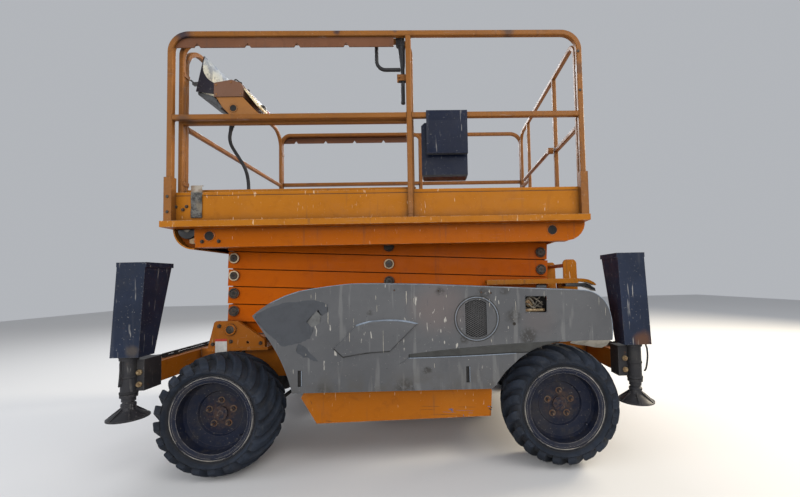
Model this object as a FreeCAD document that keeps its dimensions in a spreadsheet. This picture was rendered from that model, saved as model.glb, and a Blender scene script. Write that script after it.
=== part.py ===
import FreeCAD, Part
import math
import os
import re

# Rough-terrain scissor lift, stowed.  Millimetres, +Z up, front towards -X,
# origin on the ground below the middle of the wheelbase, centre plane Y = 0.

os.makedirs("parts", exist_ok=True)
doc = FreeCAD.newDocument("scissor_lift")
V = FreeCAD.Vector

# ---------------------------------------------------------------- dimensions
# alias, value, meaning
DIMENSIONS = [
    ("axle_x", 956, "axle to mid wheelbase"),
    ("axle_z", 331.5, "wheel centre height"),
    ("wheel_y", 750, "wheel centre plane"),
    ("kingpin_y", 680, "steering axis"),
    ("pin_left", -1076, "left column of scissor joints"),
    ("pin_right", 975, "right column of scissor joints, stowed"),
    ("pin_low", 757, "height of the lowest joints"),
    ("stage_rise", 116.5, "height of one stowed stage"),
    ("arm_thick", 50, "arm width in Y"),
    ("arm_depth", 110, "arm height"),
    ("outer_face", 425, "outer arms, outer face"),
    ("inner_face", 365, "inner arms, outer face"),
    ("end_left", 41, "arm beyond its left joint"),
    ("end_right", 45, "arm beyond its right joint"),
    ("pin_high_off", 13, "upper joint above the arm's middle line"),
    ("pin_low_off", 9, "lower joint below the arm's middle line"),
    ("shaft_rad", 25, "joint shafts"),
    ("stub_rad", 24, "stub pins"),
    ("bush_rad", 32, "cross tubes round the shafts"),
    ("bush_bore", 25.5, "bore of those tubes"),
    ("cross_rad", 30, "plain cross tubes"),
    ("boss_rad", 34, "rings on the outer arms"),
    ("boss_out", 9, "ring height"),
    ("roller_rad", 33, "slide rollers"),
    ("frame_low", 420, "frame rail underside"),
    ("frame_top", 620, "frame rail top"),
    ("deck_plate", 20, "frame top plate"),
    ("rail_in", 260, "frame rail inner face"),
    ("rail_out", 340, "frame rail outer face"),
    ("bracket_in", 440, "scissor bracket inner face"),
    ("bracket_thick", 27, "scissor bracket thickness"),
    ("track_web", 480, "slide track web inner face"),
    ("track_gap", 5, "roller to track flange"),
    ("pod_face", 800, "lower panel outer face"),
    ("hood_face", 870, "hood outer face"),
    ("hood_wall", 8, "hood wall"),
    ("hinge_y", 560, "hood hinge"),
    ("hinge_z", 985, "hood hinge"),
    ("leg_front_x", -1420, "front legs"),
    ("leg_front_y", 830, "front legs"),
    ("leg_rear_x", 1388, "rear legs"),
    ("leg_rear_y", 800, "rear legs"),
    ("leg_rad", 25, "leg"),
    ("leg_tube_rad", 37, "leg tube"),
    ("pad_rad", 95, "foot pad"),
    ("pad_low", 340, "foot pad underside"),
    ("cover_face", 880, "outrigger cover outer face"),
    ("cover_top", 1180, "outrigger cover top"),
    ("cover_low", 670, "outrigger cover underside"),
    ("deck_left", -1305, "platform end, front"),
    ("deck_right", 1176, "platform end, rear"),
    ("deck_edge", 782, "platform edge"),
    ("floor_top", 1418, "platform floor"),
    ("floor_thick", 13, "floor sheet"),
    ("lip_low", 1384, "underside of the platform edge"),
    ("beam_low", 1272, "side beam underside"),
    ("beam_face", 695, "side beam outer face"),
    ("beam_wall", 10, "side beam web"),
    ("beam_flange", 70, "side beam flange depth"),
    ("toe_top", 1592, "toe board top"),
    ("tube", 32, "guardrail tube, square"),
    ("tube_round", 7, "edges of the guardrail tube"),
    ("toe_out", 738, "toe board outer face"),
    ("toe_thick", 12, "toe board"),
    ("side_rail_y", 756, "side guardrail plane"),
    ("post_left", -1264, "front guardrail post"),
    ("post_mid", 124, "centre guardrail post"),
    ("post_right", 1149, "rear guardrail post"),
    ("rail_top", 2524, "top rail middle"),
    ("rail_mid", 2027, "mid rail middle"),
    ("rail_bend", 105, "bend of the top rail"),
    ("ext_rail_y", 704, "extension guardrail plane"),
    ("ext_tube", 28, "extension guardrail tube, square"),
    ("ext_top", 2513, "extension top rail"),
    ("ext_mid", 2018, "extension mid rail"),
    ("end_top", 2524, "extension end frame, top rail"),
    ("end_mid", 2000, "extension end frame, mid rail"),
    ("ext_post", 132, "extension rear post"),
    ("ext_end", -1236, "extension end frame"),
]
D = {}
sheet = doc.addObject("Spreadsheet::Sheet", "dims")
for line, (alias, value, meaning) in enumerate(DIMENSIONS, 1):
    sheet.set("A%d" % line, meaning)
    sheet.set("B%d" % line, str(value))
    sheet.setAlias("B%d" % line, alias)
    D[alias] = float(value)
doc.recompute()

arm_len = math.hypot(D["pin_right"] - D["pin_left"], D["stage_rise"])
arm_tilt = math.degrees(math.atan2(D["stage_rise"], D["pin_right"] - D["pin_left"]))

PARTS = {}


def bind(text):
    """Expression text with the sheet's names."""
    return re.sub(r"[a-z_]+", lambda m: "dims." + m.group(0) if m.group(0) in D else m.group(0), str(text))


def place(obj, at=(0, 0, 0), rot=None):
    if rot is not None:
        obj.Placement = FreeCAD.Placement(V(0, 0, 0), rot)
    for axis, text in zip("xyz", at):
        if isinstance(text, str):
            obj.setExpression("Placement.Base." + axis, bind(text))
        elif text:
            base = FreeCAD.Vector(obj.Placement.Base)
            setattr(base, axis, float(text))
            obj.Placement = FreeCAD.Placement(base, obj.Placement.Rotation)
    return obj


COUNT = [0]


def tag(stem):
    COUNT[0] += 1
    return "%s_%03d" % (stem, COUNT[0])


def box(x, y, z):
    """Box between two corners; each pair may be numbers or sheet names."""
    obj = doc.addObject("Part::Box", tag("box"))
    for prop, pair in zip(("Length", "Width", "Height"), (x, y, z)):
        obj.setExpression(prop, "(%s) - (%s)" % (bind(pair[1]), bind(pair[0])))
    return place(obj, [str(p[0]) for p in (x, y, z)])


TURN = {
    "z": FreeCAD.Rotation(),
    "y": FreeCAD.Rotation(V(1, 0, 0), -90),
    "x": FreeCAD.Rotation(V(0, 1, 0), 90),
}


def rod(axis, start, length, radius):
    """Round bar from start along +axis."""
    obj = doc.addObject("Part::Cylinder", tag("rod"))
    obj.setExpression("Radius", bind(radius))
    obj.setExpression("Height", bind(length))
    return place(obj, [str(s) for s in start], TURN[axis])


def sided(side, low, high):
    """Y pair on one side of the centre plane, low and high counted outwards."""
    if side > 0:
        return (str(low), str(high))
    return ("-(%s)" % high, "-(%s)" % low)


def join(*things):
    things = [t for t in things if t is not None]
    if len(things) == 1:
        return things[0]
    obj = doc.addObject("Part::MultiFuse", tag("join"))
    obj.Shapes = list(things)
    return obj


def minus(base, tool):
    obj = doc.addObject("Part::Cut", tag("cut"))
    obj.Base, obj.Tool = base, tool
    return obj


def group(*things):
    """Solids that stay apart, as one object."""
    obj = doc.addObject("Part::Compound", tag("group"))
    obj.Links = list(things)
    return obj


def origin_plane(body, role):
    return [f for f in body.Origin.OriginFeatures if f.Role == role][0]


def outline_edges(sketch, points):
    """Closed outline.  A point is (u, v) for a line to it, or
    (um, vm, u, v) for an arc through (um, vm) to (u, v)."""
    here = points[-1][-2:]
    for p in points:
        there = p[-2:]
        if len(p) == 2:
            if math.hypot(there[0] - here[0], there[1] - here[1]) > 1e-6:
                sketch.addGeometry(Part.LineSegment(V(here[0], here[1], 0), V(there[0], there[1], 0)), False)
        else:
            arc = Part.Arc(V(here[0], here[1], 0), V(p[0], p[1], 0), V(there[0], there[1], 0))
            sketch.addGeometry(arc, False)
        here = there


def plate(points, thick, y_high=None, plane="XZ_Plane", at=None, tilt=None):
    """Outline in X and Z padded towards -Y from y_high."""
    body = doc.addObject("PartDesign::Body", tag("plate"))
    sketch = body.newObject("Sketcher::SketchObject", tag("outline"))
    sketch.AttachmentSupport = [(origin_plane(body, plane), "")]
    sketch.MapMode = "FlatFace"
    outline_edges(sketch, points)
    pad = body.newObject("PartDesign::Pad", tag("pad"))
    pad.Profile = sketch
    pad.setExpression("Length", bind(thick))
    body.Tip = pad
    if y_high is not None:
        body.setExpression("Placement.Base.y", bind(y_high))
    if at is not None:
        place(body, at)
    return body


def side_plate(points, side, outer, thick):
    """Outline in X and Z on one side, its outer face at Y = outer."""
    high = "(%s)" % outer if side > 0 else "-((%s) - (%s))" % (outer, thick)
    return plate(points, thick, high)


def turned(points, at, rot=None):
    """Profile (radius, height) turned about Z, or about Y with rot."""
    body = doc.addObject("PartDesign::Body", tag("turned"))
    sketch = body.newObject("Sketcher::SketchObject", tag("profile"))
    sketch.AttachmentSupport = [(origin_plane(body, "XZ_Plane"), "")]
    sketch.MapMode = "FlatFace"
    outline_edges(sketch, points)
    spin = body.newObject("PartDesign::Revolution", tag("turn"))
    spin.Profile = sketch
    spin.ReferenceAxis = (sketch, ["V_Axis"])
    spin.Angle = 360
    body.Tip = spin
    return place(body, at, rot)


def bent_tube(points, radius, bend):
    """Round tube through points, its corners rounded to the radius bend."""
    pts = [V(*p) for p in points]
    edges, here = [], pts[0]
    for before, corner, after in zip(pts, pts[1:], pts[2:]):
        a, b = (before - corner).normalize(), (after - corner).normalize()
        half = a.getAngle(b) / 2
        run = bend / math.tan(half)
        p, q = corner + a * run, corner + b * run
        mid = (a + b).normalize()
        m = corner + mid * (bend / math.sin(half) - bend)
        if (p - here).Length > 1e-6:
            edges.append(Part.LineSegment(here, p).toShape())
        edges.append(Part.Arc(p, m, q).toShape())
        here = q
    edges.append(Part.LineSegment(here, pts[-1]).toShape())
    path = Part.Wire(edges)
    ring = Part.Wire(Part.Circle(pts[0], pts[1] - pts[0], radius).toShape())
    obj = doc.addObject("Part::Feature", tag("tube"))
    obj.Shape = path.makePipeShell([ring], True, False)
    return obj


def arc_tube(start, corner, end, size, edge):
    """Quarter bend of square tube round a square corner."""
    a, c, b = V(*start), V(*corner), V(*end)
    u, w = (a - c), (b - c)
    bend = u.Length
    u.normalize()
    w.normalize()
    middle = c + (u + w) * bend - (u + w).normalize() * bend
    path = Part.Wire(Part.Arc(a, middle, b).toShape())
    ring = square_ring(a, u, w, size, edge)
    obj = doc.addObject("Part::Feature", tag("bend"))
    obj.Shape = path.makePipeShell([ring], True, False)
    return obj


def square_ring(at, along, across, size, edge):
    """Rounded square at right angles to along; across is one of its sides."""
    third = along.cross(across)
    h, e = size / 2, edge
    k = e * (1 - math.sqrt(0.5))

    def at_uv(u, v):
        return at + across * u + third * v
    lines = []
    corners = [((h, e - h), (h, h - e), (h - k, h - k), (h - e, h)), ((h - e, h), (e - h, h), (k - h, h - k), (-h, h - e)),
               ((-h, h - e), (-h, e - h), (k - h, k - h), (e - h, -h)), ((e - h, -h), (h - e, -h), (h - k, k - h), (h, e - h))]
    for p, q, m, r in corners:
        lines.append(Part.LineSegment(at_uv(*p), at_uv(*q)).toShape())
        lines.append(Part.Arc(at_uv(*q), at_uv(*m), at_uv(*r)).toShape())
    return Part.Wire(lines)


def bar(x, y, z, axis, edge="tube_round"):
    """Box whose four edges along axis are rounded."""
    core = box(x, y, z)
    core.recompute()
    names = []
    for i, e in enumerate(core.Shape.Edges, 1):
        d = e.Vertexes[1].Point - e.Vertexes[0].Point
        if abs(getattr(d, axis)) > 1e-6 and abs(abs(getattr(d, axis)) - d.Length) < 1e-6:
            names.append(i)
    edge_mm = D.get(edge, edge)
    obj = doc.addObject("Part::Fillet", tag("bar"))
    obj.Base = core
    obj.Edges = [(i, edge_mm, edge_mm) for i in names]
    return obj


def around(centre, width):
    """Pair of faces a width apart."""
    return ("(%s) - (%s) / 2" % (centre, width), "(%s) + (%s) / 2" % (centre, width))


def loft(sections):
    """Straight loft between closed polygons."""
    wires = [Part.makePolygon([V(*p) for p in s] + [V(*s[0])]) for s in sections]
    obj = doc.addObject("Part::Feature", tag("loft"))
    obj.Shape = Part.makeLoft(wires, True, True)
    return obj


def node(name, obj):
    obj.Label = name
    PARTS[name] = obj
    return obj


# ------------------------------------------------------------------- wheels
# profile columns: radius, height outwards from the wheel's middle plane
RIM = [(0, 20), (118, 20), (126, 34), (176, 44), (186, 62), (190, 112), (204, 118), (224, 118), (224, 110), (206.4, 104),
       (206.4, -104), (224, -110), (224, -118), (190, -118), (190, 40), (170, 30), (126, 20), (118, 6), (0, 6)]
TYRE = [(207, 100), (225, 109), (236, 128), (262, 146), (284, 150), (306, 142), (322, 126), (331.5, 104),
        (331.5, -104), (322, -126), (306, -142), (284, -150), (262, -146), (236, -128), (225, -109), (207, -100)]
# corner columns: name, x side, y side
CORNERS = [("front_left", -1, -1), ("front_right", -1, 1), ("rear_left", 1, -1), ("rear_right", 1, 1)]
for name, sx, sy in CORNERS:
    spot = ["%d * axle_x" % sx, "%d * wheel_y" % sy, "axle_z"]
    # turned about Z first, then laid over so that +height points outwards
    lay = FreeCAD.Rotation(V(1, 0, 0), -90 * sy)
    node("tyre_" + name, turned(TYRE, spot, lay))
    disc = turned(RIM, spot, lay)
    nuts = []
    for i in range(5):
        turn = math.radians(90 + 72 * i)
        nut = doc.addObject("Part::Prism", tag("nut"))
        nut.Polygon, nut.Circumradius, nut.Height = 6, 13, 14
        place(nut, ["%s + %.3f" % (spot[0], 70 * math.cos(turn)), "%s + %d" % (spot[1], 19 * sy), "axle_z + %.3f" % (70 * math.sin(turn))], lay)
        nuts.append(nut)
    cap = rod("y", (spot[0], "%s + %d" % (spot[1], 19 if sy > 0 else -34), "axle_z"), "15", "38")
    node("rim_" + name, join(disc, cap, *nuts))

# ------------------------------------------------------------ axles, steering
beam = box(("axle_x - 45", "axle_x + 45"), ("-600", "600"), ("axle_z - 45", "axle_z + 45"))
hubs = [rod("y", ("axle_x", y0, "axle_z"), "155.5", "80") for y0 in ("-755.5", "600")]
seat = box(("axle_x - 90", "axle_x + 90"), ("-300", "300"), ("axle_z + 45", "frame_low"))
node("rear_axle", group(beam, seat, *hubs))

beam = box(("-axle_x - 50", "-axle_x + 50"), ("-575", "575"), ("axle_z - 50", "axle_z + 50"))
seat = box(("-axle_x - 90", "-axle_x + 90"), ("-300", "300"), ("axle_z + 50", "frame_low"))
forks = []
for s in (-1, 1):
    back = box(("-axle_x - 45", "-axle_x + 45"), sided(s, 575, 600), ("axle_z - 120", "axle_z + 120"))
    bore = rod("z", ("-axle_x", "%d * kingpin_y" % s, "axle_z - 150"), "300", "18.3")
    ears = [minus(box(("-axle_x - 45", "-axle_x + 45"), sided(s, 600, 720), ("axle_z + %d" % a, "axle_z + %d" % b)), bore) for a, b in ((95, 120), (-120, -95))]
    forks += [back] + ears
node("front_axle", group(beam, seat, *forks))

for side, s in (("left", -1), ("right", 1)):
    pin = rod("z", ("-axle_x", "%d * kingpin_y" % s, "axle_z - 118"), "236", "18")
    block = rod("z", ("-axle_x", "%d * kingpin_y" % s, "axle_z - 90"), "180", "42")
    hub = rod("y", ("-axle_x", "%s" % ("-755.5" if s < 0 else "680"), "axle_z"), "75.5", "70")
    arm = box(("-axle_x - 20", "-axle_x + 120"), sided(s, 632, 668), ("axle_z - 80", "axle_z - 62"))
    node("knuckle_" + side, join(pin, block, hub, arm))
shank = rod("y", ("-axle_x + 100", "-632", "axle_z - 101"), "1264", "13")
eyes = [rod("z", ("-axle_x + 100", "%d" % (650 * s), "axle_z - 115"), "28", "22") for s in (-1, 1)]
node("tie_rod", join(shank, *eyes))

# ------------------------------------------------------------ chassis frame
rails = [box(("-1344", "1299"), sided(s, "rail_in", "rail_out"), ("frame_low", "frame_top")) for s in (-1, 1)]
cross = [box((x0, x1), ("-rail_in", "rail_in"), ("frame_low + 20", "frame_top - 20")) for x0, x1 in ((-1250, -1190), (-520, -460), (120, 180), (700, 760), (1190, 1250))]
# column: x start, x end, half width of the top plate
PLATES = [(-1230, -840, 467), (-840, -310, 340), (-310, 1060, 490), (1060, 1299, 340)]
plates = [box((a, b), ("-%d" % w, "%d" % w), ("frame_top", "frame_top + deck_plate")) for a, b, w in PLATES]
beams = [box((a, b), ("-700", "700"), ("500", "615")) for a, b in ((-1440, -1344), (1299, 1400))]
node("chassis_frame", group(*rails, *cross, *plates, *beams))

BRACKET = [(-1224, 640), (-1183, 803), (-1170, 813), (-1033, 810), (-862, 689), (-857, 640)]
brackets = [side_plate(BRACKET, s, "bracket_in + bracket_thick", "bracket_thick") for s in (-1, 1)]
holes = join(*[rod("y", (-968, y0, 672), "bracket_thick + 20", "9") for y0 in ("-(bracket_in + bracket_thick + 10)", "bracket_in - 10")])
brackets = [minus(p, holes) for p in brackets]
bosses = [minus(rod("y", ("pin_left", y0, "pin_low"), "8", "36"), rod("y", ("pin_left", y1, "pin_low"), "9", "26"))
          for y0, y1 in (("-(bracket_in + bracket_thick + 8)", "-(bracket_in + bracket_thick + 9)"), ("bracket_in + bracket_thick", "bracket_in + bracket_thick"))]
shaft = rod("y", ("pin_left", "-bracket_in", "pin_low"), "2 * bracket_in", "shaft_rad")
node("scissor_brackets", group(*brackets, *bosses, shaft))

tracks = []
for s in (-1, 1):
    tracks.append(box(("-300", "1050"), sided(s, "track_web", "track_web + 10"), ("frame_top + deck_plate", "pin_low + roller_rad + track_gap + 12")))
    tracks.append(box(("-300", "1050"), sided(s, 440, "track_web"), ("pin_low + roller_rad + track_gap", "pin_low + roller_rad + track_gap + 12")))
    tracks.append(box(("-300", "1050"), sided(s, 440, "track_web"), ("pin_low - roller_rad - track_gap - 12", "pin_low - roller_rad - track_gap")))
node("slide_tracks", group(*tracks))

# -------------------------------------------------------------- side pods
PANEL = [(-485, 440), (-503, 408), (-417, 265), (558, 279), (567, 422), (550, 440)]
for side, s in (("left", -1), ("right", 1)):
    panel = side_plate(PANEL, s, "pod_face", "10")
    fold = box(("-400", "545"), sided(s, "pod_face - 60", "pod_face - 10"), ("283", "291"))
    tray = box(("-480", "540"), sided(s, "rail_out", "pod_face - 10"), ("frame_low + 8", "frame_low + 20"))
    posts = [box((x0, x0 + 30), sided(s, 505, 530), ("frame_low + 20", 935)) for x0 in (-440, 470)]
    rail = box(("-560", "1080"), sided(s, 505, 552), ("935", "965"))
    rear = box(("1000", "1030"), sided(s, 505, 530), ("762", 935))
    foot = box(("1000", "1030"), sided(s, 490, 530), ("720", "762"))
    knuckles = []
    for x0 in (-330, 150, 560):
        knuckles.append(box((x0 + 62, x0 + 92), sided(s, "hinge_y - 20", "hinge_y - 8"), ("965", "hinge_z")))
        knuckles[-1] = join(knuckles[-1], rod("x", (x0 + 62, "%d * hinge_y" % s, "hinge_z"), "30", "7"),
                            box((x0 + 62, x0 + 92), sided(s, "hinge_y - 20", "hinge_y"), ("hinge_z - 5", "hinge_z + 2")))
    node("side_pod_" + side, group(panel, fold, tray, *posts, rail, rear, foot, *knuckles))
node("engine_block", box(("-300", "400"), ("-780", "-545"), ("frame_low + 20", "900")))
node("fluid_tanks", box(("-360", "420"), ("545", "780"), ("frame_low + 20", "860")))

# ------------------------------------------------------------------- hoods
# outline columns: (x, z) line end, or (x mid, z mid, x, z) arc end
HOOD = [(-642, 944, -480, 1006), (-317, 1029, -197, 1040), (65, 1034, 340, 1021), (616, 1004), (1090, 977),
        (1173, 942, 1221, 874), (1236, 790, 1233, 697), (1068, 699), (940, 694), (828, 669, 715, 612), (631, 538),
        (579, 470), (554, 450), (-525, 455), (-573, 603, -669, 772), (-738, 876)]
# raised field and sunk band on the side, window for the lamp, latch slots
FIELD = [(-295, 689), (-176, 808), (-105, 828), (-24, 833, 150, 812), (3, 670), (-121, 664), (-249, 645)]
BAND = [(105, 649), (272, 666, 463, 680), (738, 695, 940, 700), (940, 640), (695, 639), (407, 631, 104, 628)]
WINDOW = [(761, 862), (757, 862, 753, 870), (753, 940), (753, 950, 763, 951), (865, 949), (875, 948, 875, 939), (873, 870), (873, 859, 863, 858)]
SLOTS = [(-495, -476, 488, 576), (418, 436, 487, 575)]
GRILLE = (483, 833)


def hood(side, s):
    outer = side_plate(HOOD, s, "hood_face", "hood_face - hinge_y")
    doc.recompute()
    face = [f for f in outer.Shape.Faces if abs(f.CenterOfMass.y - s * D["hood_face"]) < 1e-3][0]
    ring = face.OuterWire.makeOffset2D(-D["hood_wall"], 2, False, False, False)
    depth = D["hood_face"] - D["hinge_y"]
    inner = doc.addObject("Part::Feature", tag("hollow"))
    body = Part.Face(ring).extrude(V(0, -s * depth, 0))
    body.translate(V(0, -s * D["hood_wall"], 0))
    inner.Shape = body
    below = box(("-900", "1400"), sided(s, "hinge_y - 5", "hood_face - 28"), ("300", "930"))
    lugs = [box((x0, x0 + 60), sided(s, "hinge_y", "hinge_y + 25"), ("hinge_z - 13", "hinge_z + 16")) for x0 in (-330, 150, 560, 900)]
    lugs += [rod("x", (x0, "%d * hinge_y" % s, "hinge_z"), "60", "7") for x0 in (-330, 150, 560)]
    field = side_plate(FIELD, s, "hood_face + 8", "11")
    start = "-(hood_face + 3)" if s < 0 else "hood_face - 3"
    bead = minus(rod("y", (GRILLE[0], start, GRILLE[1]), "6", "122"), rod("y", (GRILLE[0], "-(hood_face + 10)" if s < 0 else "hood_face - 10", GRILLE[1]), "20", "113"))
    shell = join(minus(minus(outer, inner), below), *lugs, field, bead)
    # openings through the skin
    through = sided(s, "hood_face - 20", "hood_face + 20")
    grille = doc.addObject("Part::MultiCommon", tag("common"))
    grille.Shapes = [rod("y", (GRILLE[0], through[0], GRILLE[1]), "40", "104"), box((420, 538), through, (GRILLE[1] - 110, GRILLE[1] + 110))]
    window = side_plate(WINDOW, s, "hood_face + 10", "30")
    slots = [box((a, b), through, (c, d)) for a, b, c, d in SLOTS]
    holes = [rod("y", (x, through[0], z), "40", r) for x, z, r in ((689, 800, 10), (512, 976, 6), (564, 972, 6), (274, 990, 5), (33, 998, 5))]
    band = side_plate(BAND, s, "hood_face + 2", "7.5")
    node("hood_" + side, minus(shell, join(grille, window, band, *slots, *holes)))
    # wire mesh behind the grille opening
    mesh = box((412, 546), sided(s, "hood_face - 11.5", "hood_face - 8.5"), (GRILLE[1] - 112, GRILLE[1] + 112))
    node("grille_" + side, mesh)


for side, s in (("left", -1), ("right", 1)):
    hood(side, s)

# -------------------------------------------------------------- rear cover
strips = [box(("590", "1182"), sided(s, 460, 548), ("1012", "1042")) for s in (-1, 1)]
middle = box(("1045", "1182"), ("-460", "460"), ("1012", "1042"))
legs = [box(("1120", "1160"), sided(s, 300, 340), ("frame_top + deck_plate", "1012")) for s in (-1, 1)]
node("rear_cover", group(*strips, middle, *legs))

# ------------------------------------------------------------------- ladder
CHEEK = [(1302, 640), (1290, 1140), (1286, 1164, 1268, 1180), (1215, 1180), (1196, 1168, 1192, 1140), (1190, 640)]
cheeks = [side_plate(CHEEK, s, "245", "10") for s in (-1, 1)]
rungs = [rod("y", ("1240", "-235", z), "470", "15") for z in ("720", "950", "1140")]
node("ladder", group(*cheeks, *rungs))

# --------------------------------------------------------------- outriggers
# leg columns: name, x, y, cover x low at the top, high, low at the bottom, high, y side
LEGS = [
    ("front_left", "leg_front_x", "leg_front_y", -1452, -1301, -1483, -1332, -1),
    ("front_right", "leg_front_x", "leg_front_y", -1452, -1301, -1483, -1332, 1),
    ("rear_left", "leg_rear_x", "leg_rear_y", 1274, 1424, 1296, 1446, -1),
    ("rear_right", "leg_rear_x", "leg_rear_y", 1274, 1424, 1296, 1446, 1),
]
PAD = [(0, 0), (95, 0), (95, 6), (88, 8), (36, 44), (31, 62), (0, 62)]
covers, tubes = [], []
for name, lx, ly, xa, xb, xc, xd, s in LEGS:
    t, low, face = D["cover_top"], D["cover_low"], D["cover_face"]
    wall = 7.0
    outer = loft([[(xa, s * 680, t), (xb, s * 680, t), (xb, s * face, t), (xa, s * face, t)],
                  [(xc, s * 770, low), (xd, s * 770, low), (xd, s * face, low), (xc, s * face, low)]])
    hollow = loft([[(xa + wall, s * 600, t - wall), (xb - wall, s * 600, t - wall), (xb - wall, s * (face - wall), t - wall), (xa + wall, s * (face - wall), t - wall)],
                   [(xc + wall, s * 600, low - 30), (xd - wall, s * 600, low - 30), (xd - wall, s * (face - wall), low - 30), (xc + wall, s * (face - wall), low - 30)]])
    brim = box((xa - 4, xb + 4), sided(s, 676, "cover_face"), ("cover_top - 26", "cover_top"))
    brim_in = box((xa + 3, xb - 3), sided(s, 600, "cover_face - 7"), ("cover_top - 40", "cover_top - 7"))
    covers.append(minus(minus(join(outer, brim), hollow), brim_in))
    y = "%d * %s" % (s, ly)
    tube = rod("z", (lx, y, "480"), "410", "leg_tube_rad")
    collars = [rod("z", (lx, y, z), h, r) for z, h, r in (("430", "50", "leg_tube_rad - 5"), ("650", "16", "leg_tube_rad + 7"), ("452", "14", "leg_tube_rad + 3"))]
    inx = ("-1440", "-1344") if xa < 0 else ("1299", "1400")
    clamp = box(inx, sided(s, 700, "%s - 6" % ly), ("480", "650"))
    bore = rod("z", (lx, y, "400"), "520", "leg_rad + 0.4")
    tubes.append(minus(join(tube, clamp, *collars), bore))
    leg = rod("z", (lx, y, "pad_low + 60"), "470", "leg_rad")
    foot = turned(PAD, [lx, y, "pad_low"])
    node("outrigger_leg_" + name, join(leg, foot))
node("outrigger_covers", group(*covers))
node("outrigger_tubes", group(*tubes))

# ------------------------------------------------------------ scissor arms
# Local frame of a pair: left joint at the origin, +X to the right joint.
# The joint lies above the middle line at an arm's upper end, below at its lower.
half = D["arm_depth"] / 2
up, down = D["pin_high_off"], D["pin_low_off"]
OUTER = [(-D["end_left"], -up - half), (arm_len + D["end_right"], down - half), (arm_len + D["end_right"], down + half), (-D["end_left"], -up + half)]
INNER = [(-D["end_left"], down - half), (arm_len + D["end_right"], -up - half), (arm_len + D["end_right"], -up + half), (-D["end_left"], down + half)]


def bar_y(x, reach, radius):
    """Round bar across, from -reach to +reach."""
    return rod("y", (x, "-(%s)" % reach, 0), "2 * (%s)" % reach, radius)


def stub_y(x, side, low, high, radius):
    """Round bar on one side, low and high counted outwards."""
    return rod("y", (x, "-(%s)" % high if side < 0 else str(low), 0), "(%s) - (%s)" % (high, low), radius)


def finish_pair(name, obj, k, tilt):
    """Set the pair on joint k of the left column."""
    obj.setExpression("Placement.Base.x", "dims.pin_left")
    obj.setExpression("Placement.Base.z", "dims.pin_low + %d * dims.stage_rise" % k)
    obj.Placement = FreeCAD.Placement(obj.Placement.Base, FreeCAD.Rotation(V(0, 1, 0), tilt))
    node(name, obj)


u_base, u_eye = 0.93, 0.13
mid, far = str(arm_len / 2), str(arm_len)
inner_in = "inner_face - arm_thick"
outer_in = "outer_face - arm_thick"
for k in range(1, 6):
    # outer pair k: upper end at left joint k, lower end at right joint k - 1
    solids = []
    for s in (-1, 1):
        arm = join(side_plate(OUTER, s, "outer_face", "arm_thick"), *[stub_y(x, s, "outer_face - 1", "outer_face + boss_out", "boss_rad") for x in ("0", mid, far)])
        cuts = [stub_y(mid, s, "%s - 5" % outer_in, "outer_face + 20", "shaft_rad")]
        if k == 5:
            cuts.append(stub_y("0", s, "%s - 5" % outer_in, "outer_face + 20", "bush_bore"))
        else:
            cuts.append(stub_y("0", s, "outer_face - 8", "outer_face + 20", "shaft_rad + 1"))
        if k > 1:
            cuts.append(stub_y(far, s, "%s - 5" % outer_in, "outer_face + 20", "stub_rad + 3"))
        solids.append(minus(arm, join(*cuts)))
        if k == 1:
            solids.append(stub_y(far, s, "outer_face + boss_out", "outer_face + 46", "roller_rad"))
        if k == 2:
            solids.append(stub_y("0", s, "300", outer_in, "shaft_rad"))
    if k in (1, 3, 4):
        solids.append(bar_y("0", outer_in, "shaft_rad"))
    if k == 5:
        solids.append(minus(bar_y("0", outer_in, "bush_rad"), bar_y("0", "outer_face", "bush_bore")))
    finish_pair("scissor_outer_%d" % k, group(*solids), k, arm_tilt)

    # inner pair k: lower end at left joint k - 1, upper end at right joint k
    solids = [bar_y(str(arm_len * u_base), inner_in, "cross_rad")]
    if k == 3:
        solids += [stub_y(str(arm_len * u_eye), s, "56", inner_in, "cross_rad") for s in (-1, 1)]
    else:
        solids.append(bar_y(str(arm_len * u_eye), inner_in, "cross_rad"))
    for s in (-1, 1):
        solids.append(minus(side_plate(INNER, s, "inner_face", "arm_thick"), stub_y("0", s, "%s - 5" % inner_in, "inner_face + 20", "bush_bore")))
        solids.append(stub_y(mid, s, "inner_face", "outer_face + 3", "stub_rad"))
        if k < 5:
            solids.append(stub_y(far, s, "inner_face", "outer_face + 3", "stub_rad"))
        else:
            solids.append(stub_y(far, s, "inner_face", "625", "stub_rad"))
            solids.append(stub_y(far, s, "625", "672", "roller_rad"))
    finish_pair("scissor_inner_%d" % k, group(*solids), k - 1, -arm_tilt)

# ------------------------------------------------------------ lift cylinder
# Local frame: base eye at the origin, +X towards the rod eye.
run = D["pin_right"] - D["pin_left"]
base_at = (D["pin_left"] + u_base * run, D["pin_low"] + u_base * D["stage_rise"])
eye_at = (D["pin_left"] + u_eye * run, D["pin_low"] + (2 + u_eye) * D["stage_rise"])
closed = math.hypot(eye_at[0] - base_at[0], eye_at[1] - base_at[1])
slope = math.degrees(math.atan2(eye_at[1] - base_at[1], eye_at[0] - base_at[0]))


def cylinder_piece(name, obj):
    obj.Placement = FreeCAD.Placement(V(base_at[0], 0, base_at[1]), FreeCAD.Rotation(V(0, 1, 0), -slope))
    node(name, obj)


head = bar_y("0", "45", "46")
barrel = join(head, rod("x", (40, 0, 0), "1470", "48"), rod("x", (1480, 0, 0), "40", "54"))
cylinder_piece("lift_barrel", minus(minus(barrel, bar_y("0", "60", "cross_rad + 0.4")), rod("x", (75, 0, 0), "1460", "36.4")))
ram = rod("x", (110, 0, 0), str(closed - 110 - 40), "36")
knob = bar_y(str(closed), "42", "50")
eye_pin = bar_y(str(closed), "50", "cross_rad - 4")
cylinder_piece("lift_rod", join(ram, knob, eye_pin))

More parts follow.
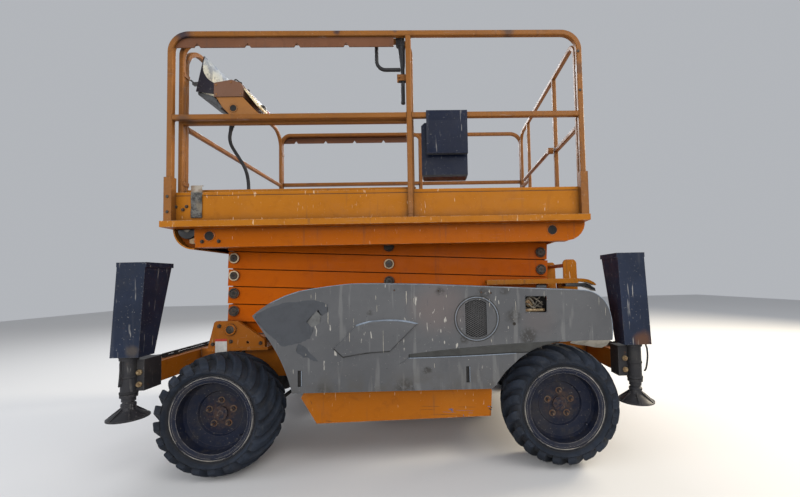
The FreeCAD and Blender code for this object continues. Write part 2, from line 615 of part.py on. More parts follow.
# ----------------------------------------------------------------- platform
channel_top = "pin_low + 5 * stage_rise + roller_rad + track_gap"
parts = [box(("deck_left", "deck_right"), ("-deck_edge", "deck_edge"), ("floor_top - floor_thick", "floor_top"))]
for s in (-1, 1):
    parts.append(box(("deck_left", "deck_right"), sided(s, 640, "deck_edge"), ("lip_low", "floor_top - floor_thick")))
    parts.append(box(("-1160", "1070"), sided(s, "beam_face - beam_wall", "beam_face"), ("beam_low", "lip_low")))
    parts.append(box(("-1160", "1070"), sided(s, "beam_face - beam_flange", "beam_face - beam_wall"), ("beam_low", "beam_low + 10")))
    parts.append(box(("-1160", "1070"), sided(s, "beam_face - beam_flange", "beam_face - beam_wall"), (channel_top, "lip_low")))
for x0, x1 in (("deck_left", "deck_left + 30"), ("deck_right - 30", "deck_right")):
    parts.append(box((x0, x1), ("-640", "640"), ("lip_low", "floor_top - floor_thick")))
# shallow webs of the front and rear ends
parts.append(box(("-1165", "-1160"), ("-beam_face", "beam_face"), ("1300", "lip_low")))

# curved end sheets below the two ends
sheets = []
for cx, rad, sx in ((-1166, 124, -1), (1070, 92, 1)):
    top = D["lip_low"]
    k45 = math.sqrt(0.5)
    pts = [(cx, top - rad), (cx + sx * rad * k45, top - rad * k45, cx + sx * rad, top), (cx + sx * (rad - 8), top),
           (cx + sx * (rad - 8) * k45, top - (rad - 8) * k45, cx, top - rad + 8)]
    sheets.append(plate(pts, "2 * beam_face", "beam_face"))
node("end_sheets", group(*sheets))
parts.append(rod("y", ("pin_left", "-(beam_face - beam_wall)", "pin_low + 5 * stage_rise"), "2 * (beam_face - beam_wall)", "shaft_rad"))
node("platform_deck", group(*parts))

toes = []
for s in (-1, 1):
    toes.append(box(("deck_left + 22", "deck_right - 12"), sided(s, "toe_out - toe_thick", "toe_out"), ("floor_top", "toe_top")))
    toes.append(box(("deck_right - 12", "deck_right - 2"), sided(s, 316 if s < 0 else 452, "toe_out"), ("floor_top", "toe_top")))
node("toe_boards", group(*toes))

# side guardrails: rounded square tube, split into straight runs and bends
low, mid_z, top_z = "floor_top", "rail_mid", "rail_top"
solids = []
bend = D["rail_bend"]
for s in (-1, 1):
    y = s * D["side_rail_y"]
    yy = around("%d * side_rail_y" % s, "tube")
    for px, ex in (("post_left", 1), ("post_right", -1)):
        solids.append(bar(around(px, "tube"), yy, (low, "rail_top - rail_bend"), "z"))
        solids.append(arc_tube((D[px], y, D["rail_top"] - bend), (D[px], y, D["rail_top"]), (D[px] + ex * bend, y, D["rail_top"]), D["tube"], D["tube_round"]))
        # open socket round the foot of the post
        shell = box(around(px, 44), sided(s, "toe_out", "side_rail_y + 22"), (low, "floor_top + 256"))
        solids.append(minus(shell, box(around(px, "tube"), yy, (low, "floor_top + 300"))))
    solids.append(bar(("post_left + rail_bend", "post_right - rail_bend"), yy, ("rail_top - tube / 2", "rail_top + tube / 2"), "x"))
    solids.append(bar(around("post_mid", "tube"), yy, (low, "rail_top - tube / 2"), "z"))
    solids.append(bar(("post_left + tube / 2", "post_mid - tube / 2"), yy, ("rail_mid - tube / 2", "rail_mid + tube / 2"), "x"))
    solids.append(bar(("post_mid + tube / 2", "post_right - tube / 2"), yy, ("rail_mid - tube / 2", "rail_mid + tube / 2"), "x"))
node("side_rails", group(*solids))

# notched strip under the front half of each top rail
combs = []
for s in (-1, 1):
    edge = [(-1242.5, 2448)]
    for x in (-1117, -823, -534, -243):
        edge += [(x - 18, 2448), (x, 2474), (x + 18, 2448)]
    edge += [(38, 2448), (38, 2507.5), (-1159, 2507.5), (-1210.3, 2491, -1242.5, 2448)]
    combs.append(side_plate(edge, s, "side_rail_y + 1", "5"))
node("notched_strips", group(*combs))

# entry end: frame across, mid rails with drooped ends, two gate posts
solids = []
xr = D["post_right"]
ye, zt, eb = 712.0, D["rail_top"] - 22, 90.0
for s in (-1, 1):
    solids.append(bar(around("post_right", 28), around(s * ye, 28), (low, str(zt - eb)), "z", 6))
    solids.append(arc_tube((xr, s * ye, zt - eb), (xr, s * ye, zt), (xr, s * (ye - eb), zt), 28.0, 6.0))
solids.append(bar(around("post_right", 28), (-ye + eb, ye - eb), (zt - 14, zt + 14), "y", 6))
for y0 in (-300, 436):
    solids.append(bar(around("post_right", 28), around(y0, 28), (low, str(zt - 14)), "z", 6))
for a, b in ((-ye + 14, -314), (450, ye - 14)):
    solids.append(bar(around("post_right", 28), (a, b), ("1952", "1980"), "y", 6))
node("end_rail", group(*solids))
swing = rod("y", ("post_right - 46", "-290", "1966"), "740", "15")
collar = rod("x", ("post_right - 62", "-300", "1966"), "40", "22")
node("drop_bar", join(swing, collar))

# document box with a lid, open inside
CASE = [(192, 1676), (192, 1972), (212, 1991), (466, 1991), (466, 1676), (458, 1664), (200, 1664)]
case = side_plate(CASE, -1, "736", "96")
gap = box(("196", "462"), sided(-1, 644, 732), ("1680", "1987"))
mouth = box(("206", "454"), sided(-1, 630, 660), ("1940", "1976"))
back = box(("224", "466"), sided(-1, 640, 644), ("1976", "2048"))
lid = box(("224", "466"), sided(-1, 640, 778), ("2044", "2048"))
flap = box(("224", "466"), sided(-1, 774, 778), ("1790", "2048"))
node("document_box", join(minus(minus(case, gap), mouth), back, lid, flap))

# weathered strap hooked over the toe board
band = box(("-1155", "-1091"), sided(-1, "toe_out + 1", "toe_out + 7"), ("1440", "1632"))
hook = box(("-1155", "-1091"), sided(-1, "toe_out - 13", "toe_out + 1"), ("1624", "1632"))
node("strap", group(band, hook))

# ---------------------------------------------------------------- extension
et = "ext_tube"
deck = box(("ext_end - 27", "ext_post + 20"), ("-715", "715"), ("floor_top + 6", "floor_top + 22"))
side = [box(("ext_end + 16", "ext_post + 20"), sided(s, 681, 687), ("floor_top + 22", "1618")) for s in (-1, 1)]
front = box(("ext_end - 27", "ext_end - 19"), ("-687", "687"), ("floor_top + 22", "1618"))
node("extension_deck", group(deck, *side, front))
solids = []
bend = 85.0
z0 = "floor_top + 22"
for s in (-1, 1):
    y = s * D["ext_rail_y"]
    yy = around("%d * ext_rail_y" % s, et)
    for px, ex in (("ext_end", 1), ("ext_post", -1)):
        solids.append(bar(around(px, et), yy, (z0, "ext_top - %s" % bend), "z", 6))
        solids.append(arc_tube((D[px], y, D["ext_top"] - bend), (D[px], y, D["ext_top"]), (D[px] + ex * bend, y, D["ext_top"]), D["ext_tube"], 6.0))
    solids.append(bar(("ext_end + %s" % bend, "ext_post - %s" % bend), yy, around("ext_top", et), "x", 6))
    solids.append(bar(("ext_end + ext_tube / 2", "ext_post - ext_tube / 2"), yy, around("ext_mid", et), "x", 6))
# end frame across the front
xf, yf, zt, eb = D["ext_end"], 675.0, D["end_top"], 150.0
for s in (-1, 1):
    solids.append(bar(around(xf, et), around(s * yf, et), (z0, str(zt - eb)), "z", 6))
    solids.append(arc_tube((xf, s * yf, zt - eb), (xf, s * yf, zt), (xf, s * (yf - eb), zt), D["ext_tube"], 6.0))
solids.append(bar(around(xf, et), (-yf + eb, yf - eb), around(zt, et), "y", 6))
solids.append(bar(around(xf, et), (-yf + 14, yf - 14), around("end_mid", et), "y", 6))
for s in (-1, 1):
    for z in (1640, 2300):
        solids.append(box(("ext_end + ext_tube / 2", "ext_end + ext_tube / 2 + 4"), sided(s, 664, 714), (z, z + 24)))
node("extension_rails", group(*solids))

# slide lock on the rear post of the near rail
yb = -D["ext_rail_y"]
stay = bent_tube([(-72, yb, 2497), (-72, yb, 2336), (72, yb, 2336)], 11.0, 55.0)
bolt_rod = rod("z", ("ext_post - 47", yb, 2125), "345", "12")
bolt_bore = rod("z", ("ext_post - 47", yb, 2100), "420", "12.4")
clips = [minus(box(("ext_post - 78", "ext_post - 14"), (yb - 17, yb + 13), (z, z + 36)), bolt_bore) for z in (2261,)]
clips.append(box(("ext_post - 84", "ext_post - 32"), (yb - 19, yb - 15), (2470, 2548)))
node("slide_lock", group(stay, *clips, bolt_rod))

# control box: sloping housing with side plates, hooked on the near rail
HEAD = [(-1071, 2195), (-1071, 2284), (-964, 2303), (-910, 2283), (-888, 2249), (-803, 2137), (-820, 2125), (-894, 2197)]
LOWER = [(-1060, 2205), (-905, 2214), (-800, 2086), (-800, 2072), (-965, 2072), (-1024, 2134)]
WING = [(-1178, 2230), (-1131, 2453), (-1127, 2440), (-1122, 2330, -1071, 2284), (-1071, 2213)]
BACK = [(-1176, 2240), (-1131, 2451), (-1126, 2450), (-1171, 2239)]
case = join(side_plate(HEAD, -1, "672", "262"), side_plate(LOWER, -1, "666", "116"), rod("z", ("-998", "-600", "2082.6"), "78", "16"))
knobs = [rod("z", (x, y, z), "26", "9") for x, y, z in ((-944, -610, 2288), (-942, -520, 2288), (-1000, -460, 2286))]
wings = [side_plate(WING, -1, outer, "4") for outer in ("672", "414")]
shield = side_plate(BACK, -1, "668", "254")
hooks = [side_plate([(-1222, 2290), (-1222, 2305), (-1161.1, 2311), (-1164.3, 2296)], -1, outer, "24") for outer in ("640", "470")]
node("control_box", group(join(case, *knobs), *wings, shield, *hooks))

CABLE = [(-998, -600, 2082), (-999, -600, 2050), (-1008, -600.5, 2010), (-1014, -601, 1968), (-1004, -603, 1922), (-972, -607, 1870), (-934, -610, 1813),
         (-904, -613, 1755), (-890, -615, 1694), (-886, -617, 1632), (-885, -618, 1568), (-885, -618.5, 1518), (-885, -618.5, 1472)]


def cable(points, radius):
    pts = [V(*p) for p in points]
    edges, here, radii = [], pts[0], []
    for before, corner, after in zip(pts, pts[1:], pts[2:]):
        a, b = before - corner, after - corner
        shorter = min(a.Length, b.Length)
        a.normalize()
        b.normalize()
        half = a.getAngle(b) / 2
        bend = 0.45 * shorter * math.tan(half)
        radii.append(round(bend))
        p, q = corner + a * (0.45 * shorter), corner + b * (0.45 * shorter)
        m = corner + (a + b).normalize() * (bend / math.sin(half) - bend)
        edges += [Part.LineSegment(here, p).toShape(), Part.Arc(p, m, q).toShape()]
        here = q
    edges.append(Part.LineSegment(here, pts[-1]).toShape())
    path = Part.Wire(edges)
    ring = Part.Wire(Part.Circle(pts[0], pts[1] - pts[0], radius).toShape())
    obj = doc.addObject("Part::Feature", tag("cable"))
    obj.Shape = path.makePipeShell([ring], True, False)
    print("cable length %.1f, volume ratio %.4f, radii %s" % (path.Length, obj.Shape.Volume / (math.pi * radius ** 2 * path.Length), radii))
    return obj


node("control_cable", cable(CABLE, 10))
node("cable_gland", rod("z", ("-885", "-618.5", "floor_top + 22"), "30", "22"))

# ------------------------------------------------------------------- export
doc.recompute()
bad = [o.Name for o in doc.Objects if "Invalid" in o.State or "Error" in o.State]
if bad:
    raise SystemExit("objects in error: %s" % bad)
for name, obj in PARTS.items():
    shape = obj.Shape
    if shape.isNull() or not shape.isValid() or not shape.Solids:
        raise SystemExit("bad shape: " + name)
for name, obj in PARTS.items():
    obj.Shape.exportStep("parts/%s.step" % name)
print("%d nodes, stroke %.1f closed, slope %.3f, arm %.2f tilt %.3f" % (len(PARTS), closed, slope, arm_len, arm_tilt))
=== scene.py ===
import bpy, bmesh, math, random
from mathutils import Matrix, Vector


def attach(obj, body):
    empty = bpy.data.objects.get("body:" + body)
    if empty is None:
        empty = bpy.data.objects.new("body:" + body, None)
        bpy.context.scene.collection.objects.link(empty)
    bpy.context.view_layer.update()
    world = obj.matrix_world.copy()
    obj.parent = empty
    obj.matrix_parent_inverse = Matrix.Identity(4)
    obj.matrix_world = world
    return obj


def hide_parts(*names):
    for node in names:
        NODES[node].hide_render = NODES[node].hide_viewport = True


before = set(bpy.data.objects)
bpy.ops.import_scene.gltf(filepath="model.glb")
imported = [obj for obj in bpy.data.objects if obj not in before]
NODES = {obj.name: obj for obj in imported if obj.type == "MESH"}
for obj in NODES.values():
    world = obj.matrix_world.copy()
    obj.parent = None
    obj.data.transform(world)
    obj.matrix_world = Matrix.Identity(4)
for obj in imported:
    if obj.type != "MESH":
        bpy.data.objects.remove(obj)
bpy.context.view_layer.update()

SC = bpy.context.scene
rnd = random.Random(7)

# ------------------------------------------------------------------ node help


class NB:
    """Short calls for building a shader."""

    def __init__(self, name):
        self.m = bpy.data.materials.new(name)
        self.m.use_nodes = True
        self.t = self.m.node_tree
        self.t.nodes.clear()
        self.out = self.t.nodes.new("ShaderNodeOutputMaterial")
        self.b = self.t.nodes.new("ShaderNodeBsdfPrincipled")
        self.t.links.new(self.b.outputs[0], self.out.inputs[0])
        tc = self.t.nodes.new("ShaderNodeTexCoord")
        self.pos = tc.outputs["Object"]
        geo = self.t.nodes.new("ShaderNodeNewGeometry")
        self.normal = geo.outputs["Normal"]

    def put(self, socket, value):
        if isinstance(value, bpy.types.NodeSocket):
            self.t.links.new(value, socket)
        elif value is not None:
            if socket.type == "RGBA" and len(value) == 3:
                value = (*value, 1)
            socket.default_value = value

    def map(self, scale=(1, 1, 1), loc=(0, 0, 0), rot=(0, 0, 0), src=None):
        n = self.t.nodes.new("ShaderNodeMapping")
        n.inputs["Scale"].default_value = scale
        n.inputs["Location"].default_value = loc
        n.inputs["Rotation"].default_value = rot
        self.put(n.inputs[0], src or self.pos)
        return n.outputs[0]

    def noise(self, scale=5, detail=4, rough=0.55, vec=None, distort=0.0, color=False):
        n = self.t.nodes.new("ShaderNodeTexNoise")
        n.inputs["Scale"].default_value = scale
        n.inputs["Detail"].default_value = detail
        n.inputs["Roughness"].default_value = rough
        n.inputs["Distortion"].default_value = distort
        self.put(n.inputs["Vector"], vec or self.pos)
        return n.outputs[1 if color else 0]

    def voronoi(self, scale=5, feature="F1", vec=None, out="Distance", rand=1.0):
        n = self.t.nodes.new("ShaderNodeTexVoronoi")
        n.feature = feature
        n.inputs["Scale"].default_value = scale
        n.inputs["Randomness"].default_value = rand
        self.put(n.inputs["Vector"], vec or self.pos)
        return n.outputs[out]

    def wave(self, scale=5, distort=0, detail=2, vec=None, kind="BANDS", direction="X"):
        n = self.t.nodes.new("ShaderNodeTexWave")
        n.wave_type = kind
        n.bands_direction = direction
        n.inputs["Scale"].default_value = scale
        n.inputs["Distortion"].default_value = distort
        n.inputs["Detail"].default_value = detail
        self.put(n.inputs["Vector"], vec or self.pos)
        return n.outputs[1]

    def ramp(self, fac, *stops):
        n = self.t.nodes.new("ShaderNodeValToRGB")
        self.put(n.inputs[0], fac)
        els = n.color_ramp.elements
        while len(els) > 1:
            els.remove(els[-1])
        first = True
        for p, c in stops:
            if not isinstance(c, (tuple, list)):
                c = (c, c, c)
            e = els[0] if first else els.new(p)
            first = False
            e.position = p
            e.color = (*c, 1)
        return n.outputs[0]

    def span(self, v, a, b, lo=0.0, hi=1.0, smooth=True):
        n = self.t.nodes.new("ShaderNodeMapRange")
        n.interpolation_type = "SMOOTHSTEP" if smooth else "LINEAR"
        self.put(n.inputs["Value"], v)
        n.inputs["From Min"].default_value = a
        n.inputs["From Max"].default_value = b
        n.inputs["To Min"].default_value = lo
        n.inputs["To Max"].default_value = hi
        return n.outputs[0]

    def math(self, op, a, b=None, c=None):
        n = self.t.nodes.new("ShaderNodeMath")
        n.operation = op
        self.put(n.inputs[0], a)
        if b is not None:
            self.put(n.inputs[1], b)
        if c is not None:
            self.put(n.inputs[2], c)
        return n.outputs[0]

    def mul(self, *v):
        r = v[0]
        for w in v[1:]:
            r = self.math("MULTIPLY", r, w)
        return r

    def top(self, *v):
        r = v[0]
        for w in v[1:]:
            r = self.math("MAXIMUM", r, w)
        return r

    def inv(self, v):
        return self.math("SUBTRACT", 1.0, v)

    def mix(self, fac, a, b, mode="MIX"):
        n = self.t.nodes.new("ShaderNodeMix")
        n.data_type = "RGBA"
        n.blend_type = mode
        self.put(n.inputs[0], fac)
        self.put(n.inputs[6], a)
        self.put(n.inputs[7], b)
        return n.outputs[2]

    def axis(self, which, src=None):
        n = self.t.nodes.new("ShaderNodeSeparateXYZ")
        self.put(n.inputs[0], src or self.pos)
        return n.outputs["XYZ".index(which)]

    def near(self, at, radius, soft=0.5, stretch=(1, 1, 1), wobble=0.0, wscale=8):
        """1 near a point, 0 beyond the radius."""
        src = self.pos
        if wobble:
            col = self.noise(wscale, 4, 0.6, color=True)
            a = self.t.nodes.new("ShaderNodeVectorMath")
            a.operation = "MULTIPLY_ADD"
            self.put(a.inputs[0], col)
            a.inputs[1].default_value = (wobble,) * 3
            a.inputs[2].default_value = (-wobble / 2,) * 3
            add = self.t.nodes.new("ShaderNodeVectorMath")
            self.put(add.inputs[0], a.outputs[0])
            self.put(add.inputs[1], self.pos)
            src = add.outputs[0]
        m = self.t.nodes.new("ShaderNodeVectorMath")
        m.operation = "SUBTRACT"
        self.put(m.inputs[0], src)
        m.inputs[1].default_value = at
        s = self.t.nodes.new("ShaderNodeVectorMath")
        s.operation = "MULTIPLY"
        self.put(s.inputs[0], m.outputs[0])
        s.inputs[1].default_value = stretch
        d = self.t.nodes.new("ShaderNodeVectorMath")
        d.operation = "LENGTH"
        self.put(d.inputs[0], s.outputs[0])
        return self.span(d.outputs["Value"], radius * (1 - soft), radius, 1, 0)

    def edges(self, radius=0.004, lo=0.04, hi=0.25):
        """1 on sharp edges."""
        n = self.t.nodes.new("ShaderNodeBevel")
        n.samples = 4
        n.inputs[0].default_value = radius
        d = self.t.nodes.new("ShaderNodeVectorMath")
        d.operation = "DOT_PRODUCT"
        self.put(d.inputs[0], n.outputs[0])
        self.put(d.inputs[1], self.normal)
        return self.span(self.inv(d.outputs["Value"]), lo, hi)

    def ao(self, dist=0.08, lo=0.35, hi=0.95):
        """1 in corners."""
        n = self.t.nodes.new("ShaderNodeAmbientOcclusion")
        n.samples = 5
        n.inputs["Distance"].default_value = dist
        return self.span(n.outputs["AO"], lo, hi, 1, 0)

    def bump(self, height, strength=0.3, dist=0.002, normal=None):
        n = self.t.nodes.new("ShaderNodeBump")
        n.inputs["Strength"].default_value = strength
        n.inputs["Distance"].default_value = dist
        self.put(n.inputs["Height"], height)
        if normal is not None:
            self.put(n.inputs["Normal"], normal)
        return n.outputs[0]

    def set(self, **kw):
        for k, v in kw.items():
            self.put(self.b.inputs[k.replace("_", " ")], v)
        return self.m


def paint(name, base, light=None, dark=None, chips=0.5, grime_and_shade=0.5, drips=0.4, fade=0.4, rough=0.42, under=(0.03, 0.018, 0.012), specks=0.4, spots=None, pale=0.0, dust=None, spec=0.16):
    """Old paint: faded tone, painted shade in corners, runs, chips down to primer and rust."""
    n = NB(name)
    light = light or tuple(min(1, c * 1.2 + 0.01) for c in base)
    dark = dark or tuple(c * 0.62 for c in base)
    big = n.noise(2.3, 5, 0.6)
    col = n.mix(n.span(big, 0.42, 0.68, 0, fade), base, light)
    mid = n.noise(9, 6, 0.7, distort=0.6)
    col = n.mix(n.span(mid, 0.5, 0.75, 0, 0.55), col, dark)
    # rain runs
    run = n.noise(1, 3, 0.6, n.map((38, 38, 2.2)))
    run_m = n.mul(n.span(run, 0.56, 0.72), n.span(n.noise(3.1, 2), 0.42, 0.6), drips)
    col = n.mix(run_m, col, tuple(c * 0.45 + 0.02 for c in base))
    # pale dusty film
    film = n.mul(n.span(n.noise(6.5, 7, 0.75), 0.5, 0.72), 0.30 * grime_and_shade)
    col = n.mix(film, col, dust or tuple(c * 0.6 + 0.035 for c in base))
    # painted shade: darker in corners, from ambient occlusion
    corner = n.mul(n.ao(0.06), grime_and_shade)
    col = n.mix(corner, col, tuple(c * 0.16 + 0.008 for c in base))
    # small dark specks and pale ones
    sp = n.noise(210, 2, 0.5)
    col = n.mix(n.mul(n.span(sp, 0.69, 0.74), specks), col, (0.06, 0.035, 0.02))
    sp2 = n.noise(165, 2, 0.5, n.map(loc=(3, 1, 7)))
    col = n.mix(n.mul(n.span(sp2, 0.71, 0.76), specks * 0.7), col, (0.62, 0.50, 0.36))
    # short pale scrapes
    if pale:
        ps = n.noise(1, 2, 0.5, n.map((95, 95, 13), loc=(2, 4, 3)))
        ps_m = n.mul(n.span(ps, 0.672, 0.70), n.span(n.noise(6.3, 3, vec=n.map(loc=(5, 1, 2))), 0.47, 0.58), pale)
        col = n.mix(ps_m, col, (0.70, 0.58, 0.42))
    # scratches
    scr = n.noise(1, 2, 0.5, n.map((7, 9, 150), rot=(0.2, 0.1, 0.3)))
    scr_m = n.mul(n.span(scr, 0.665, 0.7), n.span(n.noise(4.5, 3), 0.52, 0.64), 0.55 * chips)
    col = n.mix(scr_m, col, tuple(c * 0.6 + 0.12 for c in base))
    # chips, mostly along edges
    edge = n.edges(0.006, 0.03, 0.22)
    nz = n.noise(75, 6, 0.75)
    edge_m = n.mul(edge, n.span(nz, 0.47, 0.56), chips)
    flat = n.mul(n.span(n.noise(31, 6, 0.7), 0.71, 0.735), chips)
    chip = n.top(edge_m, flat)
    col = n.mix(chip, col, n.mix(n.span(n.noise(90, 3), 0.4, 0.6), under, (0.10, 0.035, 0.012)))
    if pale:
        worn = n.mul(n.edges(0.004, 0.03, 0.18), n.span(n.noise(34, 6, 0.75, vec=n.map(loc=(7, 7, 7))), 0.46, 0.56), pale)
        col = n.mix(worn, col, (0.66, 0.54, 0.40))
    for at, radius, colour, amount, wob in spots or ():
        s = n.mul(n.near(at, radius, 0.7, wobble=wob, wscale=9), amount)
        col = n.mix(s, col, colour)
    r = n.span(n.noise(14, 5, 0.7), 0.3, 0.7, rough - 0.1, rough + 0.16, smooth=False)
    r = n.math("ADD", r, n.mul(chip, 0.3))
    h = n.math("SUBTRACT", n.mul(n.noise(55, 4, 0.6), 0.25), n.mul(chip, 0.8))
    h = n.math("ADD", h, n.mul(n.noise(4, 2), 0.9))
    n.set(Base_Color=col, Roughness=r, Normal=n.bump(h, 0.25, 0.0016))
    n.set(Specular_IOR_Level=spec)
    return n.m


MAT = {}
# rail paint: the same orange paint made about half as bright as the deck, as painted shade
MAT["rail"] = paint("rail_paint_worn", (0.185, 0.070, 0.013), light=(0.245, 0.096, 0.019), dark=(0.080, 0.030, 0.012), chips=0.95, grime_and_shade=0.45, drips=0.5, specks=0.6,
                    spots=[((-1.20, -0.756, 2.540), 0.085, (0.016, 0.018, 0.030), 0.9, 0.09), ((0.72, -0.756, 2.53), 0.05, (0.03, 0.024, 0.026), 0.7, 0.08),
                           ((-1.18, -0.756, 2.0), 0.06, (0.035, 0.026, 0.024), 0.6, 0.07), ((1.15, -0.756, 2.3), 0.05, (0.06, 0.03, 0.02), 0.6, 0.07),
                           ((-0.30, -0.756, 2.54), 0.035, (0.02, 0.02, 0.03), 0.8, 0.06), ((0.05, -0.756, 2.54), 0.03, (0.02, 0.02, 0.03), 0.8, 0.06)])
MAT["deck"] = paint("deck_paint_worn", (0.300, 0.103, 0.004), light=(0.36, 0.133, 0.010), dark=(0.205, 0.066, 0.003), chips=0.35, grime_and_shade=0.6, drips=0.7, specks=0.35, pale=0.45, spec=0.1)
# beam paint: the same orange paint, slightly darker and redder, as painted shade under the toe board
MAT["beam"] = paint("beam_paint_worn", (0.320, 0.076, 0.0012), light=(0.37, 0.095, 0.002), dark=(0.225, 0.051, 0.001), chips=0.4, grime_and_shade=0.6, drips=0.5, specks=0.3, pale=0.25, spec=0.06)
# arm paint: the same orange paint in a deeper red, as painted shade
MAT["arm"] = paint("arm_paint_worn", (0.405, 0.080, 0.0010), light=(0.46, 0.100, 0.002), dark=(0.30, 0.054, 0.0008), chips=0.3, grime_and_shade=0.7, drips=0.4, fade=0.5, specks=0.15, rough=0.42, spec=0.05)
MAT["frame"] = paint("frame_paint_worn", (0.27, 0.082, 0.005), light=(0.33, 0.115, 0.015), dark=(0.135, 0.040, 0.006), chips=0.8, grime_and_shade=0.9, drips=0.6, specks=0.5, pale=0.2)
MAT["panel"] = paint("panel_paint_worn", (0.285, 0.084, 0.003), light=(0.34, 0.118, 0.012), dark=(0.165, 0.045, 0.004), chips=0.9, grime_and_shade=0.7, drips=0.5, specks=0.6, pale=0.5, spec=0.1,
                     spots=[((0.575, -0.8, 0.30), 0.040, (0.02, 0.018, 0.015), 0.7, 0.07)])


SMUDGES = [((0.526, -0.87, 0.970), 0.036, 0.75), ((0.690, -0.87, 0.842), 0.042, 0.7), ((0.766, -0.87, 0.728), 0.046, 0.75), ((0.205, -0.87, 0.560), 0.020, 0.8), ((0.412, -0.87, 0.720), 0.024, 0.7),
           ((0.085, -0.87, 0.462), 0.052, 0.85), ((-0.355, -0.87, 0.462), 0.040, 0.7), ((0.282, -0.87, 0.985), 0.024, 0.7), ((0.640, -0.87, 0.985), 0.026, 0.6), ((-0.10, -0.87, 0.875), 0.014, 0.6)]


def hood_mat():
    n = NB("hood_grey_worn")
    base = (0.067, 0.069, 0.074)
    big = n.noise(1.7, 5, 0.6, distort=0.4)
    col = n.mix(n.span(big, 0.4, 0.65), base, (0.082, 0.084, 0.089))
    col = n.mix(n.mul(n.span(n.noise(5.5, 7, 0.7, distort=0.8), 0.5, 0.7), 0.45), col, (0.055, 0.058, 0.065))
    # pinkish worn field right of the middle, dark repaired patch near the front
    for at, rad, c, amt, wob in (((0.27, -0.87, 0.90), 0.20, (0.118, 0.092, 0.087), 0.55, 0.16), ((0.83, -0.87, 0.82), 0.13, (0.100, 0.086, 0.084), 0.4, 0.14),
                                 ((0.27, 0.87, 0.90), 0.20, (0.115, 0.092, 0.088), 0.4, 0.16)):
        col = n.mix(n.mul(n.near(at, rad, 0.8, wobble=wob, wscale=6), amt), col, c)
    # greasy smudges
    for at, rad, amt in SMUDGES:
        m = n.mul(n.near(at, rad * 1.45, 0.7, (1.0, 1.0, 1.0), 0.05, 28), amt, n.span(n.noise(60, 5, 0.75), 0.40, 0.50))
        col = n.mix(m, col, (0.028, 0.026, 0.024))
    # pale runs and short vertical scrapes
    a = n.noise(1, 2, 0.5, n.map((64, 64, 15)))
    am = n.mul(n.span(a, 0.665, 0.70), n.span(n.noise(5, 3), 0.50, 0.60), 0.8)
    col = n.mix(am, col, (0.36, 0.345, 0.315))
    b = n.noise(1, 2, 0.5, n.map((25, 25, 3.2), loc=(4, 2, 1)))
    col = n.mix(n.mul(n.span(b, 0.6, 0.7), 0.25), col, (0.205, 0.205, 0.20))
    c = n.noise(1, 2, 0.5, n.map((120, 60, 14), rot=(0, 0.7, 0), loc=(1, 5, 2)))
    col = n.mix(n.mul(n.span(c, 0.70, 0.725), 0.7), col, (0.07, 0.07, 0.075))
    s = n.noise(150, 2, 0.5)
    col = n.mix(n.mul(n.span(s, 0.735, 0.765), 0.7), col, (0.34, 0.325, 0.30))
    s2 = n.noise(60, 3, 0.6, n.map(loc=(9, 3, 2)))
    col = n.mix(n.mul(n.span(s2, 0.70, 0.73), 0.8), col, (0.035, 0.035, 0.04))
    # dirt rising from the lower edge, and painted shade in corners
    low = n.mul(n.span(n.axis("Z"), 0.45, 0.62, 1, 0), n.span(n.noise(11, 5, 0.7), 0.35, 0.65), 0.55)
    col = n.mix(low, col, (0.065, 0.060, 0.054))
    col = n.mix(n.mul(n.ao(0.03), 0.75), col, (0.035, 0.035, 0.035))
    # pale bluish edges: edge wear with a painted sky highlight
    edge = n.mul(n.edges(0.004, 0.03, 0.2), n.span(n.noise(60, 5, 0.7), 0.4, 0.55))
    col = n.mix(n.mul(edge, 0.25), col, (0.19, 0.21, 0.24))
    r = n.span(n.noise(12, 5, 0.7), 0.3, 0.7, 0.40, 0.62, smooth=False)
    h = n.math("ADD", n.mul(n.noise(48, 4, 0.6), 0.3), n.mul(n.noise(3, 2), 1.2))
    n.set(Base_Color=col, Roughness=r, Normal=n.bump(h, 0.2, 0.002), Specular_IOR_Level=0.16)
    return n.m


MAT["hood"] = hood_mat()


def black_metal(name, base=(0.022, 0.026, 0.036), scratch=0.8, dusty=0.4, rust=0.2, rough=0.5, spots=()):
    n = NB(name)
    col = n.mix(n.span(n.noise(3, 5, 0.6), 0.4, 0.7), base, tuple(c * 1.5 for c in base))
    a = n.noise(1, 2, 0.5, n.map((70, 70, 6)))
    am = n.mul(n.span(a, 0.655, 0.69), n.span(n.noise(6, 3), 0.44, 0.58), scratch)
    col = n.mix(am, col, (0.34, 0.33, 0.31))
    b = n.noise(1, 2, 0.5, n.map((24, 24, 2), loc=(2, 7, 1)))
    col = n.mix(n.mul(n.span(b, 0.58, 0.7), 0.28 * scratch), col, (0.085, 0.09, 0.10))
    s = n.noise(130, 2, 0.5)
    col = n.mix(n.mul(n.span(s, 0.70, 0.74), scratch), col, (0.28, 0.27, 0.25))
    col = n.mix(n.mul(n.span(n.noise(7, 7, 0.75), 0.5, 0.74), dusty), col, (0.045, 0.042, 0.038))
    ru = n.mul(n.span(n.noise(16, 6, 0.75), 0.64, 0.7), rust)
    col = n.mix(ru, col, (0.14, 0.05, 0.018))
    for at, rad, c, amt, wob in spots:
        col = n.mix(n.mul(n.near(at, rad, 0.7, wobble=wob, wscale=10), amt), col, c)
    edge = n.mul(n.edges(0.004, 0.03, 0.2), n.span(n.noise(50, 5, 0.7), 0.45, 0.56))
    col = n.mix(n.mul(edge, 0.55), col, (0.16, 0.15, 0.14))
    r = n.span(n.noise(18, 5, 0.7), 0.3, 0.7, rough - 0.12, rough + 0.18, smooth=False)
    n.set(Base_Color=col, Roughness=r, Normal=n.bump(n.noise(42, 5, 0.65), 0.25, 0.0015), Specular_IOR_Level=0.16)
    return n.m


